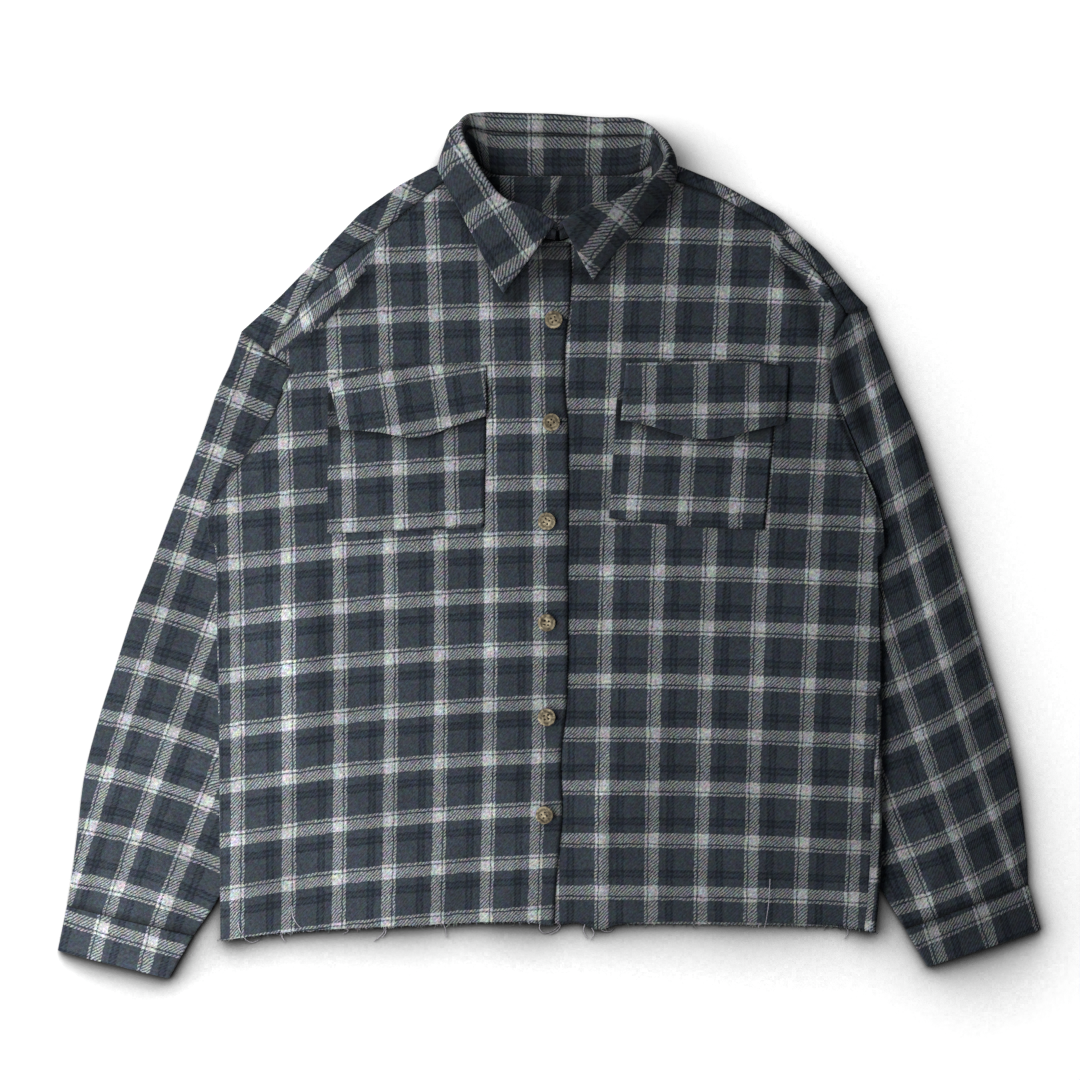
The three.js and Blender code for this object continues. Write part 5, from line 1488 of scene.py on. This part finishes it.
class SHIRT_OT_buttons(bpy.types.Operator):
    """Six four-hole front buttons with a raised rim, turned once and copied"""

    bl_idname = "shirt.buttons"
    bl_label = "Buttons"

    def execute(self, context):
        deselect()
        bpy.ops.mesh.primitive_cylinder_add(vertices=40, radius=7.5 * MM, depth=3 * MM, location=(0, 0, 1.5 * MM))
        pattern = context.active_object
        bpy.ops.object.mode_set(mode="EDIT")
        bm = bmesh.from_edit_mesh(pattern.data)
        for f in bm.faces:
            f.select_set(f.normal.z > 0.9)
        bm.select_flush_mode()
        bmesh.update_edit_mesh(pattern.data)
        for thickness, depth in ((1.4, 0), (0.7, -0.6), (0.9, -0.25), (1.6, -0.15)):
            bpy.ops.mesh.inset(thickness=thickness * MM, depth=depth * MM)
        bpy.ops.object.mode_set(mode="OBJECT")
        drills = []
        for sx in (1, -1):
            for sy in (1, -1):
                deselect()
                bpy.ops.mesh.primitive_cylinder_add(vertices=14, radius=0.85 * MM, depth=9 * MM, location=(sx * 1.7 * MM, sy * 1.7 * MM, 1.5 * MM))
                drills.append(context.active_object)
        for drill in drills:
            cut = pattern.modifiers.new("hole", "BOOLEAN")
            cut.operation, cut.object, cut.solver = "DIFFERENCE", drill, "EXACT"
            deselect()
            pattern.select_set(True)
            context.view_layer.objects.active = pattern
            bpy.ops.object.modifier_apply(modifier=cut.name)
            bpy.data.objects.remove(drill)
        bevel = pattern.modifiers.new("round", "BEVEL")
        bevel.width, bevel.segments, bevel.limit_method, bevel.angle_limit = 0.35 * MM, 2, "ANGLE", radians(28)
        bpy.ops.object.modifier_apply(modifier=bevel.name)
        bpy.ops.object.transform_apply(location=True, rotation=True, scale=True)
        bpy.ops.object.shade_smooth_by_angle(angle=radians(35))
        face = pattern.data.uv_layers.active or pattern.data.uv_layers.new()
        face.name = "face"
        for loop in pattern.data.loops:
            face.data[loop.index].uv = pattern.data.vertices[loop.vertex_index].co.xy
        for k in range(1, 7):
            low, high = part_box(f"button_{k}")
            copy = bpy.data.objects.new(f"horn_button_{k}", pattern.data.copy())
            context.scene.collection.objects.link(copy)
            turn = 0.35 * k
            for v in copy.data.vertices:
                x, y = v.co.x, v.co.y
                v.co.x = x * cos(turn) - y * sin(turn) + (low[0] + high[0]) / 2
                v.co.y = x * sin(turn) + y * cos(turn) + (low[1] + high[1]) / 2
                v.co.z += low[2]
            finish_piece(copy, f"button_{k}", horn())
        bpy.data.objects.remove(pattern)
        return {"FINISHED"}


class SHIRT_OT_stage(bpy.types.Operator):
    """Plain pale floor, soft light from the upper left and the camera straight above"""

    bl_idname = "shirt.stage"
    bl_label = "Stage"

    def execute(self, context):
        stage = context.scene.shirt_stage
        deselect()
        bpy.ops.mesh.primitive_plane_add(size=8, location=(0, 0, -0.0004))
        floor = context.active_object
        floor.name = "floor"
        made, tree = base_material("matt_white_card")
        if tree is not None:
            # Matt white card with no shine of its own, which glows by emission to stay white. The shirt's shadow on it
            # is painted: ambient occlusion looking to the upper left, where the room's light comes from, darkens the
            # card below the shirt and on its right
            way = node(tree, "CombineXYZ", {"X": -0.42, "Y": 0.8, "Z": 0.35}).outputs["Vector"]
            seen = node(tree, "AmbientOcclusion", {"samples": 16, "Distance": stage.shade_reach}, Normal=way).outputs["AO"]
            shade = node(tree, "Math", {"operation": "POWER", 1: stage.shade_depth}, i0=seen).outputs["Value"]
            glow = node(tree, "Math", {"operation": "MULTIPLY", 1: stage.floor_glow}, i0=shade).outputs["Value"]
            card = node(tree, "VectorMath", {"operation": "SCALE", 0: linear(stage.floor_colour)[:3]}, Scale=shade).outputs["Vector"]
            skin = node(
                tree, "BsdfPrincipled", {"Roughness": 1.0, "Specular IOR Level": 0.0, "Emission Color": linear("#ffffff")},
                Base_Color=card, Emission_Strength=glow,
            )
            node(tree, "OutputMaterial", Surface=skin.outputs["BSDF"])
        floor.data.materials.append(made)
        deselect()
        lamps = (
            ("key_light", (-0.8, 0.6, 0.6), 0.5, stage.key_power),
            ("side_light", (-0.6, -0.5, 0.5), 0.6, stage.side_power),
        )
        for name, place, size, power in lamps:
            bpy.ops.object.light_add(type="AREA", location=place)
            lamp = context.active_object
            lamp.name = name
            lamp.data.shape, lamp.data.size, lamp.data.size_y = "RECTANGLE", size, size
            lamp.data.energy = power
            lamp.rotation_euler = (-lamp.location).to_track_quat("-Z", "Y").to_euler()
        world = context.scene.world or bpy.data.worlds.new("soft_room")
        context.scene.world = world
        world.use_nodes = True
        world.node_tree.nodes.clear()
        back = world.node_tree.nodes.new("ShaderNodeBackground")
        back.inputs["Color"].default_value = linear("#f4f6fa")
        back.inputs["Strength"].default_value = stage.fill_power
        out = world.node_tree.nodes.new("ShaderNodeOutputWorld")
        world.node_tree.links.new(back.outputs["Background"], out.inputs["Surface"])
        deselect()
        bpy.ops.object.camera_add(location=(-0.0081, 0.0047, stage.camera_height), rotation=(0, 0, 0))
        camera = context.active_object
        camera.name = "camera"
        camera.data.lens, camera.data.sensor_width = 60, 36
        camera.data.clip_end = 20
        context.scene.camera = camera
        context.scene.view_settings.view_transform = "Standard"
        return {"FINISHED"}


class SHIRT_PT_panel(bpy.types.Panel):
    """Sizes and colours of the shirt, and a button for each of its pieces"""

    bl_label = "Flannel shirt"
    bl_idname = "SHIRT_PT_panel"
    bl_space_type = "VIEW_3D"
    bl_region_type = "UI"
    bl_category = "Shirt"

    def draw(self, context):
        for group in (context.scene.shirt, context.scene.shirt_stage):
            for name in group.bl_rna.properties.keys():
                if name not in ("rna_type", "name"):
                    self.layout.prop(group, name)
        for piece in PIECES:
            self.layout.operator(piece.bl_idname)


PIECES = (
    SHIRT_OT_back, SHIRT_OT_fronts, SHIRT_OT_yoke, SHIRT_OT_sleeves, SHIRT_OT_cuffs,
    SHIRT_OT_collar, SHIRT_OT_pockets, SHIRT_OT_buttons, SHIRT_OT_stage,
)
CLASSES = (ShirtSettings, StageSettings) + PIECES + (SHIRT_PT_panel,)


def register():
    for item in CLASSES:
        bpy.utils.register_class(item)
    bpy.types.Scene.shirt = bpy.props.PointerProperty(type=ShirtSettings)
    bpy.types.Scene.shirt_stage = bpy.props.PointerProperty(type=StageSettings)


def unregister():
    del bpy.types.Scene.shirt_stage
    del bpy.types.Scene.shirt
    for item in reversed(CLASSES):
        bpy.utils.unregister_class(item)


def main():
    register()
    for piece in PIECES:
        group, name = piece.bl_idname.split(".")
        getattr(getattr(bpy.ops, group), name)()


if __name__ == "__main__":
    main()
